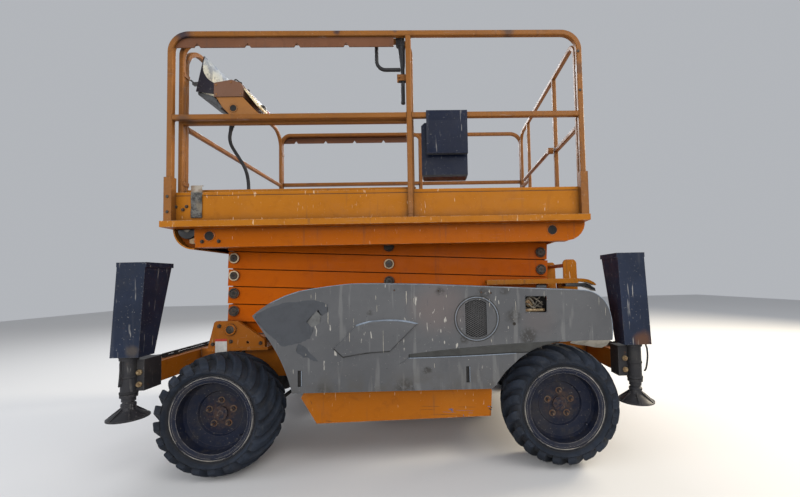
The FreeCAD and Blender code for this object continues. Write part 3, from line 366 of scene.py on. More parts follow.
MAT["cover"] = black_metal("cover_black_scratched", (0.009, 0.014, 0.029), scratch=0.65, dusty=0.25, rust=0.1, rough=0.42,
                           spots=[((1.40, -0.88, 0.69), 0.07, (0.10, 0.045, 0.02), 0.7, 0.07), ((-1.36, -0.88, 0.70), 0.05, (0.09, 0.07, 0.05), 0.5, 0.06)])
MAT["leg"] = black_metal("leg_black_greasy", (0.020, 0.020, 0.023), scratch=0.25, dusty=0.5, rust=0.4, rough=0.45)
MAT["axle"] = black_metal("axle_black_dirty", (0.022, 0.022, 0.024), scratch=0.1, dusty=0.8, rust=0.5, rough=0.7)
MAT["barrel"] = black_metal("barrel_black", (0.022, 0.022, 0.025), scratch=0.3, dusty=0.3, rust=0.1, rough=0.4)
MAT["iron"] = black_metal("engine_iron_oily", (0.035, 0.033, 0.030), scratch=0.1, dusty=0.6, rust=0.6, rough=0.6)
MAT["tank"] = black_metal("tank_black_dirty", (0.030, 0.030, 0.032), scratch=0.2, dusty=0.6, rust=0.3, rough=0.55)
MAT["box"] = black_metal("document_box_black", (0.003, 0.006, 0.018), scratch=0.4, dusty=0.15, rust=0.0, rough=0.4)
MAT["lock"] = black_metal("lock_black", (0.018, 0.018, 0.02), scratch=0.3, dusty=0.2, rust=0.3, rough=0.4)


def rim_mat():
    n = NB("rim_dark_rusty")
    base = (0.005, 0.008, 0.021)
    col = n.mix(n.span(n.noise(6, 6, 0.7), 0.4, 0.7), base, (0.020, 0.020, 0.026))
    col = n.mix(n.mul(n.span(n.noise(11, 7, 0.75), 0.5, 0.68), 0.6), col, (0.027, 0.024, 0.024))
    for wx in (-0.956, 0.956):
        for wy in (-0.77, 0.77):
            m = n.mul(n.near((wx, wy, 0.3315), 0.13, 0.8, (1, 0.5, 1), 0.10, 18), n.span(n.noise(40, 5, 0.8), 0.4, 0.6), 0.5)
            col = n.mix(m, col, (0.080, 0.042, 0.022))
    s = n.noise(90, 2, 0.5)
    col = n.mix(n.mul(n.span(s, 0.66, 0.72), 0.6), col, (0.13, 0.115, 0.10))
    inner = None
    for wx in (-0.956, 0.956):
        for wy in (-0.75, 0.75):
            m = n.near((wx, wy, 0.3315), 0.226, 0.06)
            inner = m if inner is None else n.top(inner, m)
    edge = n.mul(n.edges(0.005, 0.03, 0.15), n.span(n.noise(30, 4, 0.7), 0.3, 0.5), n.span(inner, 0.0, 1.0, 1.0, 0.14))
    col = n.mix(n.mul(edge, 0.85), col, (0.30, 0.285, 0.27))
    r = n.span(n.noise(18, 5, 0.7), 0.3, 0.7, 0.45, 0.75, smooth=False)
    n.set(Base_Color=col, Roughness=r, Normal=n.bump(n.noise(60, 5, 0.7), 0.35, 0.0015), Specular_IOR_Level=0.16)
    return n.m


def rubber(name, base=(0.010, 0.0135, 0.021), dusty=0.35):
    n = NB(name)
    col = n.mix(n.span(n.noise(5, 6, 0.7), 0.4, 0.7), base, tuple(c * 1.9 for c in base))
    col = n.mix(n.mul(n.span(n.noise(12, 7, 0.75), 0.48, 0.7), dusty), col, (0.040, 0.039, 0.040))
    col = n.mix(n.mul(n.ao(0.03), 0.5), col, (0.040, 0.036, 0.032))
    scr = n.noise(1, 3, 0.5, n.map((40, 40, 12), rot=(0.4, 0.2, 0.5)))
    col = n.mix(n.mul(n.span(scr, 0.66, 0.72), 0.4 * dusty), col, (0.075, 0.073, 0.072))
    r = n.span(n.noise(22, 5, 0.7), 0.3, 0.7, 0.62, 0.88, smooth=False)
    h = n.math("ADD", n.noise(170, 4, 0.6), n.mul(n.noise(25, 4, 0.7), 2.0))
    n.set(Base_Color=col, Roughness=r, Normal=n.bump(h, 0.35, 0.0012), Specular_IOR_Level=0.18)
    return n.m


MAT["rim"] = rim_mat()
MAT["tyre"] = rubber("tyre_rubber_dusty")
MAT["cable"] = rubber("cable_rubber", (0.015, 0.015, 0.017), 0.2)
MAT["hose"] = rubber("hose_rubber", (0.018, 0.018, 0.02), 0.35)


def steel(name, base=(0.42, 0.40, 0.37), rust=0.4, rough=0.35, metal=1.0):
    n = NB(name)
    col = n.mix(n.span(n.noise(30, 5, 0.7), 0.4, 0.65), base, tuple(c * 0.6 for c in base))
    ru = n.mul(n.span(n.noise(55, 6, 0.75), 0.5, 0.62), rust)
    col = n.mix(ru, col, (0.16, 0.065, 0.025))
    r = n.math("ADD", n.span(n.noise(40, 4, 0.7), 0.3, 0.7, rough - 0.1, rough + 0.15, smooth=False), n.mul(ru, 0.3))
    n.set(Base_Color=col, Roughness=r, Metallic=metal, Normal=n.bump(n.noise(120, 4, 0.6), 0.2, 0.0008))
    return n.m


MAT["steel"] = steel("worn_steel")
MAT["bright"] = steel("bright_steel", (0.62, 0.60, 0.57), 0.15, 0.25)
MAT["chrome"] = steel("chrome_rod", (0.75, 0.75, 0.76), 0.02, 0.12)
MAT["rusty"] = steel("rusty_bolt", (0.12, 0.08, 0.055), 0.85, 0.6, 0.5)
MAT["darkbolt"] = steel("dark_bolt", (0.05, 0.045, 0.04), 0.5, 0.5, 0.6)


def plain(name, base, rough=0.5, vary=0.35, metal=0.0, spec=0.4, bump=0.2):
    n = NB(name)
    col = n.mix(n.span(n.noise(14, 6, 0.7), 0.4, 0.68), base, tuple(c * (1 - vary) for c in base))
    col = n.mix(n.mul(n.span(n.noise(80, 5, 0.7), 0.58, 0.7), 0.4), col, tuple(c * 0.35 + 0.02 for c in base))
    r = n.span(n.noise(30, 4, 0.6), 0.3, 0.7, rough - 0.08, rough + 0.12, smooth=False)
    n.set(Base_Color=col, Roughness=r, Normal=n.bump(n.noise(90, 4, 0.6), bump, 0.001), Specular_IOR_Level=spec)
    if metal:
        n.set(Metallic=metal)
    return n.m


MAT["strip"] = paint("strip_paint_dark", (0.115, 0.048, 0.024), light=(0.17, 0.075, 0.040), dark=(0.060, 0.028, 0.018), chips=0.9, grime_and_shade=0.6, drips=0.4, specks=0.5)
MAT["pale"] = plain("pale_worn_ring", (0.55, 0.42, 0.27), 0.45, 0.45)
MAT["dark"] = plain("dark_inside", (0.010, 0.009, 0.009), 0.75)
MAT["amber"] = plain("lamp_lens", (0.42, 0.20, 0.05), 0.2, 0.3)
MAT["wing"] = black_metal("box_wing_black", (0.014, 0.012, 0.018), scratch=0.5, dusty=0.2, rust=0.1, rough=0.4)
MAT["hood_low"] = plain("hood_band_shade", (0.046, 0.047, 0.046), 0.6, 0.25, spec=0.15)
MAT["hood_dark"] = plain("hood_patch_dark", (0.052, 0.056, 0.064), 0.55, 0.12, spec=0.15, bump=0.05)
MAT["hood_pale"] = plain("hood_patch_pale", (0.108, 0.110, 0.110), 0.55, 0.3, spec=0.15, bump=0.05)
# pale bluish strips on edges that catch the light: painted highlight
MAT["hood_edge"] = plain("hood_edge_painted_highlight", (0.19, 0.225, 0.275), 0.45, 0.35, spec=0.2, bump=0.1)
# dark strips under edges and in grooves: painted shade
MAT["hood_shade"] = plain("hood_edge_painted_shade", (0.035, 0.034, 0.032), 0.6, 0.3, spec=0.12)
MAT["scrape"] = plain("scrape_undercoat", (0.33, 0.31, 0.27), 0.6, 0.4, spec=0.15)
MAT["tan"] = plain("slide_block_tan", (0.24, 0.16, 0.085), 0.6, 0.4)
MAT["pale_grey"] = plain("strip_pale_grey", (0.42, 0.44, 0.46), 0.4, 0.4)
MAT["loom"] = plain("loom_dusty", (0.16, 0.14, 0.11), 0.7, 0.6)
MAT["bronze"] = steel("dirty_bronze", (0.30, 0.22, 0.12), 0.6, 0.5, 0.5)
MAT["mesh"] = plain("grille_mesh", (0.060, 0.060, 0.063), 0.5, 0.4)
MAT["label"] = plain("blank_label", (0.50, 0.49, 0.47), 0.55, 0.25)
MAT["label_red"] = plain("blank_label_red", (0.42, 0.035, 0.02), 0.5, 0.3)
MAT["cream"] = plain("panel_face_cream", (0.62, 0.52, 0.32), 0.5, 0.3)
MAT["knob"] = plain("knob_black", (0.015, 0.015, 0.017), 0.4)
MAT["knob_red"] = plain("knob_red", (0.40, 0.02, 0.015), 0.35)
MAT["side"] = plain("box_side_black", (0.025, 0.015, 0.02), 0.45)
MAT["housing_top"] = paint("box_housing_faded", (0.135, 0.068, 0.042), light=(0.18, 0.095, 0.062), dark=(0.08, 0.038, 0.024), chips=0.6, grime_and_shade=0.5, drips=0.3)
MAT["housing"] = paint("box_housing_paint", (0.25, 0.108, 0.030), light=(0.31, 0.15, 0.05), dark=(0.14, 0.055, 0.018), chips=0.6, grime_and_shade=0.5, drips=0.3)
MAT["mottle"] = plain("hanger_mottled", (0.055, 0.058, 0.062), 0.5, 0.7)
MAT["blue"] = plain("blue_fitting", (0.03, 0.10, 0.26), 0.45)


def shield_mat():
    n = NB("shield_weathered")
    col = n.mix(n.span(n.noise(16, 7, 0.75, distort=1.0), 0.42, 0.6), (0.62, 0.62, 0.52), (0.20, 0.20, 0.20))
    col = n.mix(n.mul(n.span(n.axis("Z"), 2.33, 2.47), 0.75), col, (0.16, 0.22, 0.34))
    n.set(Base_Color=col, Roughness=n.span(n.noise(30, 5), 0.3, 0.7, 0.3, 0.6, smooth=False), Normal=n.bump(n.noise(40, 5), 0.3, 0.001), Specular_IOR_Level=0.5)
    return n.m


MAT["shield"] = shield_mat()


def strap_mat():
    n = NB("strap_weathered")
    weave = n.mul(n.wave(170, 0.2, 1, direction="Z"), n.wave(170, 0.2, 1, direction="X"))
    col = n.mix(n.span(n.noise(35, 6, 0.8), 0.42, 0.58), (0.125, 0.120, 0.110), (0.042, 0.040, 0.038))
    col = n.mix(n.mul(n.span(n.noise(8, 4), 0.5, 0.6), 0.6), col, (0.18, 0.15, 0.11))
    col = n.mix(n.span(n.axis("Z"), 1.585, 1.60), col, n.mix(n.span(n.noise(20, 5), 0.4, 0.6), (0.20, 0.150, 0.110), (0.29, 0.26, 0.22)))
    n.set(Base_Color=col, Roughness=0.85, Normal=n.bump(weave, 0.5, 0.0008), Specular_IOR_Level=0.2)
    return n.m


MAT["strap"] = strap_mat()

NODE_MAT = {
    "side_rails": "rail", "end_rail": "rail", "extension_rails": "rail", "drop_bar": "rail", "notched_strips": "strip", "rear_cover_x": "deck",
    "toe_boards": "deck", "platform_deck": "beam", "extension_deck": "deck", "end_sheets": "deck",
    "chassis_frame": "frame", "scissor_brackets": "frame", "slide_tracks": "frame", "rear_cover": "deck", "ladder": "deck",
    "side_pod_left": "panel", "side_pod_right": "panel", "engine_block": "iron", "fluid_tanks": "tank",
    "hood_left": "hood", "hood_right": "hood", "outrigger_covers": "cover", "outrigger_tubes": "leg",
    "front_axle": "axle", "rear_axle": "axle", "knuckle_left": "axle", "knuckle_right": "axle", "tie_rod": "axle",
    "lift_barrel": "barrel", "lift_rod": "chrome", "document_box": "box", "slide_lock": "lock", "cable_gland": "knob",
    "control_box": "housing", "strap": "strap", "grille_left": "mesh", "grille_right": "mesh", "control_cable": "cable",
}


def node_mat(name):
    if name in NODE_MAT:
        return MAT[NODE_MAT[name]]
    for key, m in (("tyre", "tyre"), ("rim", "rim"), ("scissor", "arm"), ("outrigger_leg", "leg")):
        if name.startswith(key):
            return MAT[m]
    return MAT["frame"]


SOFT_EDGE = {"side_rails": 0, "end_rail": 0, "extension_rails": 0, "control_cable": 0}
for name, o in NODES.items():
    o.data.materials.clear()
    o.data.materials.append(node_mat(name))
    for p in o.data.polygons:
        p.material_index = 0
        p.use_smooth = True
    width = SOFT_EDGE.get(name, 0.0028 if name.startswith("hood") else 0.0016)
    if width:
        b = o.modifiers.new("edge", "BEVEL")
        b.width = width
        b.segments = 2
        b.limit_method = "ANGLE"
        b.angle_limit = math.radians(35)
        b.harden_normals = False
    es = o.modifiers.new("split", "EDGE_SPLIT")
    es.split_angle = math.radians(32)

# ---------------------------------------------------------------- mesh help


def add_mesh(name, bm, mat, body, smooth=True, split=35):
    me = bpy.data.meshes.new(name)
    bm.normal_update()
    bm.to_mesh(me)
    bm.free()
    o = bpy.data.objects.new(name, me)
    SC.collection.objects.link(o)
    me.materials.append(MAT[mat])
    if smooth:
        for p in me.polygons:
            p.use_smooth = True
        es = o.modifiers.new("split", "EDGE_SPLIT")
        es.split_angle = math.radians(split)
    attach(o, body)
    return o


def frame_for(axis):
    z = Vector(axis).normalized()
    x = z.orthogonal().normalized()
    y = z.cross(x)
    return Matrix((x, y, z)).transposed()


def turned_into(bm, profile, at, axis, seg=24, close=False):
    """Profile (radius, height) turned about an axis through at."""
    R = frame_for(axis)
    at = Vector(at)
    rings = []
    for r, h in profile:
        if r < 1e-7:
            rings.append([bm.verts.new(at + R @ Vector((0, 0, h)))])
        else:
            rings.append([bm.verts.new(at + R @ Vector((r * math.cos(2 * math.pi * i / seg), r * math.sin(2 * math.pi * i / seg), h))) for i in range(seg)])
    pairs = list(zip(rings, rings[1:]))
    if close:
        pairs.append((rings[-1], rings[0]))
    for a, b in pairs:
        for i in range(seg):
            j = (i + 1) % seg
            f = [a[i % len(a)], a[j % len(a)], b[j % len(b)], b[i % len(b)]]
            f = list(dict.fromkeys(f))
            if len(f) >= 3:
                bm.faces.new(f)
    return bm


def hexhead(bm, at, axis, across=0.017, high=0.011, washer=0.0, turn=0.0):
    """Bolt head with a chamfered top, and a washer."""
    R = frame_for(axis)
    at = Vector(at)
    base = 0.0
    if washer:
        turned_into(bm, [(0, 0), (washer, 0), (washer, 0.0022), (washer * 0.95, 0.003), (0, 0.003)], at, axis, 20)
        base = 0.003
    r = across / math.sqrt(3)
    rows = []
    for rad, h in ((r, base), (r, base + high * 0.8), (r * 0.84, base + high)):
        rows.append([bm.verts.new(at + R @ Vector((rad * math.cos(math.pi / 3 * i + turn), rad * math.sin(math.pi / 3 * i + turn), h))) for i in range(6)])
    for a, b in zip(rows, rows[1:]):
        for i in range(6):
            bm.faces.new((a[i], a[(i + 1) % 6], b[(i + 1) % 6], b[i]))
    bm.faces.new(rows[-1])
    bm.faces.new(list(reversed(rows[0])))


def brick(bm, lo, hi, chamfer=0.0, rot=None, about=None):
    """Box with chamfered edges."""
    part = bmesh.new()
    bmesh.ops.create_cube(part, size=1)
    lo, hi = Vector(lo), Vector(hi)
    for v in part.verts:
        v.co = Vector((lo[i] + (v.co[i] + 0.5) * (hi[i] - lo[i]) for i in range(3)))
    if chamfer:
        bmesh.ops.bevel(part, geom=part.edges[:], offset=chamfer, segments=2, profile=0.6, affect="EDGES")
    if rot is not None:
        c = Vector(about) if about is not None else (lo + hi) / 2
        bmesh.ops.rotate(part, verts=part.verts, cent=c, matrix=rot)
    join_into(bm, part)


def join_into(bm, part):
    table = {v: bm.verts.new(v.co) for v in part.verts}
    for f in part.faces:
        try:
            bm.faces.new([table[v] for v in f.verts])
        except ValueError:
            pass
    part.free()


def slab(bm, outline, y0, y1, chamfer=0.0):
    """Outline in X and Z drawn out from y0 to y1."""
    part = bmesh.new()
    a = [part.verts.new((x, y0, z)) for x, z in outline]
    b = [part.verts.new((x, y1, z)) for x, z in outline]
    part.faces.new(a)
    part.faces.new(list(reversed(b)))
    k = len(a)
    for i in range(k):
        part.faces.new((a[i], b[i], b[(i + 1) % k], a[(i + 1) % k]))
    bmesh.ops.recalc_face_normals(part, faces=part.faces)
    if chamfer:
        bmesh.ops.bevel(part, geom=part.edges[:], offset=chamfer, segments=2, profile=0.6, affect="EDGES")
    join_into(bm, part)


def smooth_path(points, n=8):
    """Catmull-Rom through points."""
    p = [Vector(q) for q in points]
    p = [p[0] * 2 - p[1]] + p + [p[-1] * 2 - p[-2]]
    out = []
    for i in range(1, len(p) - 2):
        for k in range(n):
            t = k / n
            a, b, c, d = p[i - 1], p[i], p[i + 1], p[i + 2]
            out.append(0.5 * ((2 * b) + (c - a) * t + (2 * a - 5 * b + 4 * c - d) * t * t + (3 * b - a - 3 * c + d) * t ** 3))
    out.append(p[-2])
    return out


def pipe_into(bm, path, radius, seg=10, caps=True):
    """Round tube along a path; radius a number or a list."""
    pts = [Vector(q) for q in path]
    n = len(pts)
    rads = radius if isinstance(radius, (list, tuple)) else [radius] * n
    t0 = (pts[1] - pts[0]).normalized()
    x = t0.orthogonal().normalized()
    rings = []
    for i, p in enumerate(pts):
        t = (pts[min(i + 1, n - 1)] - pts[max(i - 1, 0)]).normalized()
        x = (x - t * x.dot(t)).normalized()
        y = t.cross(x)
        rings.append([bm.verts.new(p + (x * math.cos(2 * math.pi * k / seg) + y * math.sin(2 * math.pi * k / seg)) * rads[i]) for k in range(seg)])
    for a, b in zip(rings, rings[1:]):
        for k in range(seg):
            bm.faces.new((a[k], a[(k + 1) % seg], b[(k + 1) % seg], b[k]))
    if caps:
        bm.faces.new(list(reversed(rings[0])))
        bm.faces.new(rings[-1])


def weld_into(bm, a, b, radius=0.004, lumps=None):
    """Rippled weld bead between two points."""
    a, b = Vector(a), Vector(b)
    length = (b - a).length
    n = lumps or max(4, int(length / 0.006))
    path, rads = [], []
    for i in range(n * 2 + 1):
        path.append(a + (b - a) * i / (n * 2))
        rads.append(radius * (1.0 if i % 2 else 0.78) * (0.9 + 0.2 * rnd.random()))
    rads[0] = rads[-1] = radius * 0.3
    pipe_into(bm, path, rads, 7)


# ------------------------------------------------------------------- tyres
AX, AZ, WR = 0.956, 0.3315, 0.3315
WHEELS = [("front_left", -AX, -1), ("rear_left", AX, -1), ("front_right", -AX, 1), ("rear_right", AX, 1)]
CARCASS = [(0.207, 0.100), (0.214, 0.104), (0.226, 0.109), (0.2275, 0.1125), (0.231, 0.1135), (0.2335, 0.1115), (0.238, 0.1215), (0.245, 0.1310), (0.251, 0.1355),
           (0.2535, 0.1372), (0.2562, 0.1362), (0.260, 0.1330), (0.2665, 0.1255), (0.2735, 0.1140), (0.2810, 0.0985), (0.2885, 0.078), (0.2945, 0.052), (0.2985, 0.028), (0.2995, 0.0)]


def lug(bm, centre, side, turn, flip):
    """One tread bar, from the shoulder in to the middle."""
    cx, cy, cz = centre
    # along the bar: y from the middle plane, sweep back, low radius, top radius, half width
    rows = [(0.1392, 0.000, 0.2530, 0.2660, 0.019), (0.1438, 0.000, 0.2545, 0.2760, 0.0240), (0.1412, 0.002, 0.2560, 0.2855, 0.0268), (0.1305, 0.010, 0.2620, 0.2960, 0.0272),
            (0.113, 0.024, 0.2700, 0.3065, 0.0262), (0.090, 0.043, 0.2800, 0.3165, 0.0242), (0.062, 0.070, 0.2880, 0.3252, 0.0218), (0.035, 0.102, 0.2930, 0.3305, 0.0200), (0.010, 0.132, 0.2940, 0.3315, 0.0185), (-0.006, 0.150, 0.2940, 0.3305, 0.0165)]
    loops = []
    for y, sweep, low, high, half in rows:
        ring = []
        soft = min(0.0045, (high - low) * 0.3)
        wide = half + 0.004
        for r, w in ((low, -wide), (high - soft, -half), (high, -half + soft), (high, half - soft), (high - soft, half), (low, wide)):
            a = turn + flip * (sweep + w) / 0.3315 + (0.0 if True else 0)
            ring.append(bm.verts.new((cx + r * math.cos(a), cy + side * y, cz + r * math.sin(a))))
        loops.append(ring)
    for a, b in zip(loops, loops[1:]):
        for i in range(5):
            bm.faces.new((a[i], a[i + 1], b[i + 1], b[i]))
        bm.faces.new((a[5], a[0], b[0], b[5]))
    bm.faces.new(loops[0])
    bm.faces.new(list(reversed(loops[-1])))


for name, wx, sy in WHEELS:
    bm = bmesh.new()
    prof = [(r, y) for r, y in CARCASS] + [(r, -y) for r, y in reversed(CARCASS[:-1])]
    turned_into(bm, prof + [(0.207, -0.100)], (wx, sy * 0.750, AZ), (0, 1, 0), 96)
    for i in range(20):
        for side, off in ((-1, 0.0), (1, math.pi / 20)):
            lug(bm, (wx, sy * 0.750, AZ), side, 2 * math.pi * i / 20 + off + 0.07, 1)
    bmesh.ops.recalc_face_normals(bm, faces=bm.faces)
    o = add_mesh("lugged_tyre_" + name, bm, "tyre", "wheel_" + name, split=40)
    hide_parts("tyre_" + name)
    # wheel studs, valve and worn bead ring
    bm = bmesh.new()
    f = sy * 0.770
    for i in range(5):
        t = math.radians(90 + 72 * i)
        at = Vector((wx + 0.070 * math.cos(t), f + sy * 0.0125, AZ + 0.070 * math.sin(t)))
        turned_into(bm, [(0.0065, 0), (0.0065, 0.011), (0.0052, 0.0125), (0, 0.0125)], at, (0, sy, 0), 12)
        turned_into(bm, [(0.0, 0.0), (0.019, 0.0), (0.019, 0.0022), (0.0, 0.0022)], Vector((at.x, f, at.z)), (0, sy, 0), 18)
    add_mesh("wheel_studs_" + name, bm, "rusty", "wheel_" + name)
    bm = bmesh.new()
    turned_into(bm, [(0.2055, 0.1165), (0.2085, 0.1195), (0.2200, 0.1200), (0.2235, 0.1185), (0.2245, 0.1140), (0.2235, 0.1165), (0.2085, 0.1168)], (wx, sy * 0.750, AZ), (0, sy, 0), 96)
    turned_into(bm, [(0.0, 0.0365), (0.012, 0.0365), (0.016, 0.034), (0.0, 0.034)], (wx, sy * 0.750, AZ), (0, sy, 0), 20)
    a = math.radians(-38)
    pipe_into(bm, [(wx + 0.176 * math.cos(a), sy * 0.800, AZ + 0.176 * math.sin(a)), (wx + 0.170 * math.cos(a), sy * 0.822, AZ + 0.170 * math.sin(a)), (wx + 0.165 * math.cos(a), sy * 0.836, AZ + 0.165 * math.sin(a))], 0.0042, 10)
    add_mesh("rim_ring_" + name, bm, "rim", "wheel_" + name)
    # paint rubbed off the rim's edge
    bm = bmesh.new()
    rr = random.Random(len(name) + int(wx > 0))
    ph = [rr.uniform(0, 6.28) for _ in range(4)]
    for a0, a1 in ((-58, 128), (150, 214), (226, 290)):
        path, rads = [], []
        steps = int((a1 - a0) / 3.2)
        for i in range(steps + 1):
            a = math.radians(a0 + (a1 - a0) * i / steps)
            path.append((wx + 0.2192 * math.cos(a), sy * 0.8697, AZ + 0.2192 * math.sin(a)))
            wv = 0.5 + 0.25 * math.sin(5 * a + ph[0]) + 0.17 * math.sin(13 * a + ph[1]) + 0.12 * math.sin(29 * a + ph[2])
            rads.append(0.0005 + 0.0019 * max(0.05, wv) * math.sin(math.pi * (0.04 + 0.92 * i / steps)) ** 0.4)
        pipe_into(bm, path, rads, 6)
    add_mesh("rim_worn_edge_" + name, bm, "scrape", "wheel_" + name)

# ------------------------------------------------------------------ grilles
for side, s in (("left", -1), ("right", 1)):
    bm = bmesh.new()
    pitch, rise = 0.0095, 0.0056
    rows = int(0.222 / rise)
    for j in range(rows):
        z0 = 0.7225 + rise * (j + 0.5)
        pts = []
        for i in range(15):
            x = 0.4135 + pitch * i
            if x > 0.5455:
                break
            up = (i + j) % 2
            z = z0 + (rise / 2 if up else -rise / 2)
            pts.append((x, s * (0.8605 if up else 0.8592), z))
        for (x0, y0, za), (x1, y1, zb) in zip(pts, pts[1:]):
            d = Vector((x1 - x0, 0, zb - za)).normalized()
            nrm = Vector((-d.z, 0, d.x)) * 0.00115
            q = []
            for p, y in ((Vector((x0, y0, za)), y0), (Vector((x1, y1, zb)), y1)):
                for sg in (-1, 1):
                    for e in (-0.0007, 0.0007):
                        q.append(bm.verts.new((p.x + sg * nrm.x, y + e, p.z + sg * nrm.z)))
            for f in ((0, 1, 5, 4), (2, 3, 7, 6), (0, 2, 6, 4), (1, 3, 7, 5)):
                bm.faces.new([q[k] for k in f])
    # frame round the mesh
    for lo, hi in (((0.412, 0.8585, 0.721), (0.546, 0.8612, 0.7245)), ((0.412, 0.8585, 0.9415), (0.546, 0.8612, 0.945)),
                   ((0.412, 0.8585, 0.7245), (0.4155, 0.8612, 0.9415)), ((0.5425, 0.8585, 0.7245), (0.546, 0.8612, 0.9415))):
        a, b = (lo[0], s * lo[1], lo[2]), (hi[0], s * hi[1], hi[2])
        brick(bm, (a[0], min(a[1], b[1]), a[2]), (b[0], max(a[1], b[1]), b[2]), 0.0005)
    bmesh.ops.recalc_face_normals(bm, faces=bm.faces)
    o = add_mesh("wire_grille_" + side, bm, "mesh", "hood_" + side, smooth=False)
    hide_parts("grille_" + side)

# ------------------------------------------------------------ control cable
ROUTE = [(-0.998, -0.600, 2.082), (-0.999, -0.600, 2.050), (-1.008, -0.6005, 2.010), (-1.014, -0.601, 1.968), (-1.004, -0.603, 1.922), (-0.972, -0.607, 1.870), (-0.934, -0.610, 1.813),
         (-0.904, -0.613, 1.755), (-0.890, -0.615, 1.694), (-0.886, -0.617, 1.632), (-0.885, -0.618, 1.568), (-0.885, -0.6185, 1.518), (-0.885, -0.6185, 1.472)]
cu = bpy.data.curves.new("box_cable", "CURVE")
cu.dimensions = "3D"
cu.bevel_depth = 0.010
cu.bevel_resolution = 5
cu.resolution_u = 8
sp = cu.splines.new("NURBS")
sp.points.add(len(ROUTE) - 1)
for p, c in zip(sp.points, ROUTE):
    p.co = (*c, 1)
sp.order_u = 3
sp.use_endpoint_u = True
cu.materials.append(MAT["cable"])
cable_obj = bpy.data.objects.new("box_cable", cu)
SC.collection.objects.link(cable_obj)
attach(cable_obj, "extension")
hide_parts("control_cable")

# -------------------------------------------------------------------- strap
bm = bmesh.new()
NU, NV = 14, 44
x0s, x1s = -1.1545, -1.0915
path = []
for k in range(NV + 1):
    t = k / NV
    d = t * 0.222
    if d < 0.186:
        # hanging run, outside the board
        z = 1.441 + d
        y = -0.7400 - 0.0014 * math.sin(d * 70) - 0.0016
        ny = -1
    else:
        a = min(1.0, (d - 0.186) / 0.016) * math.pi / 2
        if a < math.pi / 2:
            y = -0.7350 - 0.0066 * math.cos(a)
            z = 1.6270 + 0.0046 * math.sin(a)
        else:
            y = -0.7350 + (d - 0.202) * 0.5
            z = 1.6316
    path.append((y, z, d))
grid = []
for k, (y, z, d) in enumerate(path):
    row = []
    for i in range(NU + 1):
        u = i / NU
        fray = 0.0012 * math.sin(37 * d * 9 + i * 0.3) * (1 if i in (0, NU) else 0)
        wave = 0.0009 * math.sin(u * 9 + d * 60)
        yy = y - abs(wave) if z < 1.626 else y
        row.append(bm.verts.new((x0s + (x1s - x0s) * u + fray, yy, z)))
    grid.append(row)
for a, b in zip(grid, grid[1:]):
    for i in range(NU):
        bm.faces.new((a[i], a[i + 1], b[i + 1], b[i]))
strap = add_mesh("weathered_strap", bm, "strap", "platform", split=80)
sol = strap.modifiers.new("thick", "SOLIDIFY")
sol.thickness = 0.0022
sol.offset = 0
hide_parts("strap")

# ------------------------------------------------------------- joint pins
def lift_z(k):
    return 0.757 + 0.1165 * k


def arc(a, m, b, n=10):
    """Points of the arc a-m-b, without a."""
    ax, ay = a
    bx, by = m
    cx, cy = b
    d = 2 * (ax * (by - cy) + bx * (cy - ay) + cx * (ay - by))
    ux = ((ax * ax + ay * ay) * (by - cy) + (bx * bx + by * by) * (cy - ay) + (cx * cx + cy * cy) * (ay - by)) / d
    uy = ((ax * ax + ay * ay) * (cx - bx) + (bx * bx + by * by) * (ax - cx) + (cx * cx + cy * cy) * (bx - ax)) / d
    r = math.hypot(ax - ux, ay - uy)
    t0, t1, t2 = (math.atan2(y - uy, x - ux) for x, y in (a, m, b))
    turn = (t2 - t0) % (2 * math.pi)
    if (t1 - t0) % (2 * math.pi) > turn:
        turn -= 2 * math.pi
    return [(ux + r * math.cos(t0 + turn * i / n), uy + r * math.sin(t0 + turn * i / n)) for i in range(1, n + 1)]


RING = [(0.0255, 0.0), (0.0335, 0.0), (0.0335, 0.0028), (0.0315, 0.0042), (0.0275, 0.0042), (0.0255, 0.0026)]
PIN = [(0.0, 0.0), (0.0242, 0.0), (0.0242, 0.0022), (0.0222, 0.0042), (0.0090, 0.0042), (0.0082, 0.0030), (0.0, 0.0030)]
NIPPLE = [(0.0, 0.0), (0.0042, 0.0), (0.0042, 0.0042), (0.0028, 0.0050), (0.0034, 0.0070), (0.0024, 0.0085), (0.0, 0.0085)]
for k in range(1, 6):
    for s in (-1, 1):
        spots = [("left", -1.076, lift_z(k)), ("mid", -0.0505, lift_z(k - 0.5)), ("right", 0.975, lift_z(k - 1))]
        for where, px, pz in spots:
            if where == "right" and k == 1:
                continue
            at = (px, s * 0.4342, pz)
            pale = s < 0 and ((where == "left" and k in (3, 4)) or (where == "mid" and k == 4))
            bm = bmesh.new()
            turned_into(bm, RING, at, (0, s, 0), 36, close=True)
            add_mesh("pin_ring_%s_%d_%s" % (where, k, "left" if s < 0 else "right"), bm, "pale" if pale else "darkbolt", "outer_%d" % k, split=50)
            bm = bmesh.new()
            turned_into(bm, PIN, at, (0, s, 0), 32)
            turned_into(bm, NIPPLE, (at[0], at[1] + s * 0.0028, at[2]), (0, s, 0), 10)
            add_mesh("pin_end_%s_%d_%s" % (where, k, "left" if s < 0 else "right"), bm, "darkbolt", "outer_%d" % k, split=40)
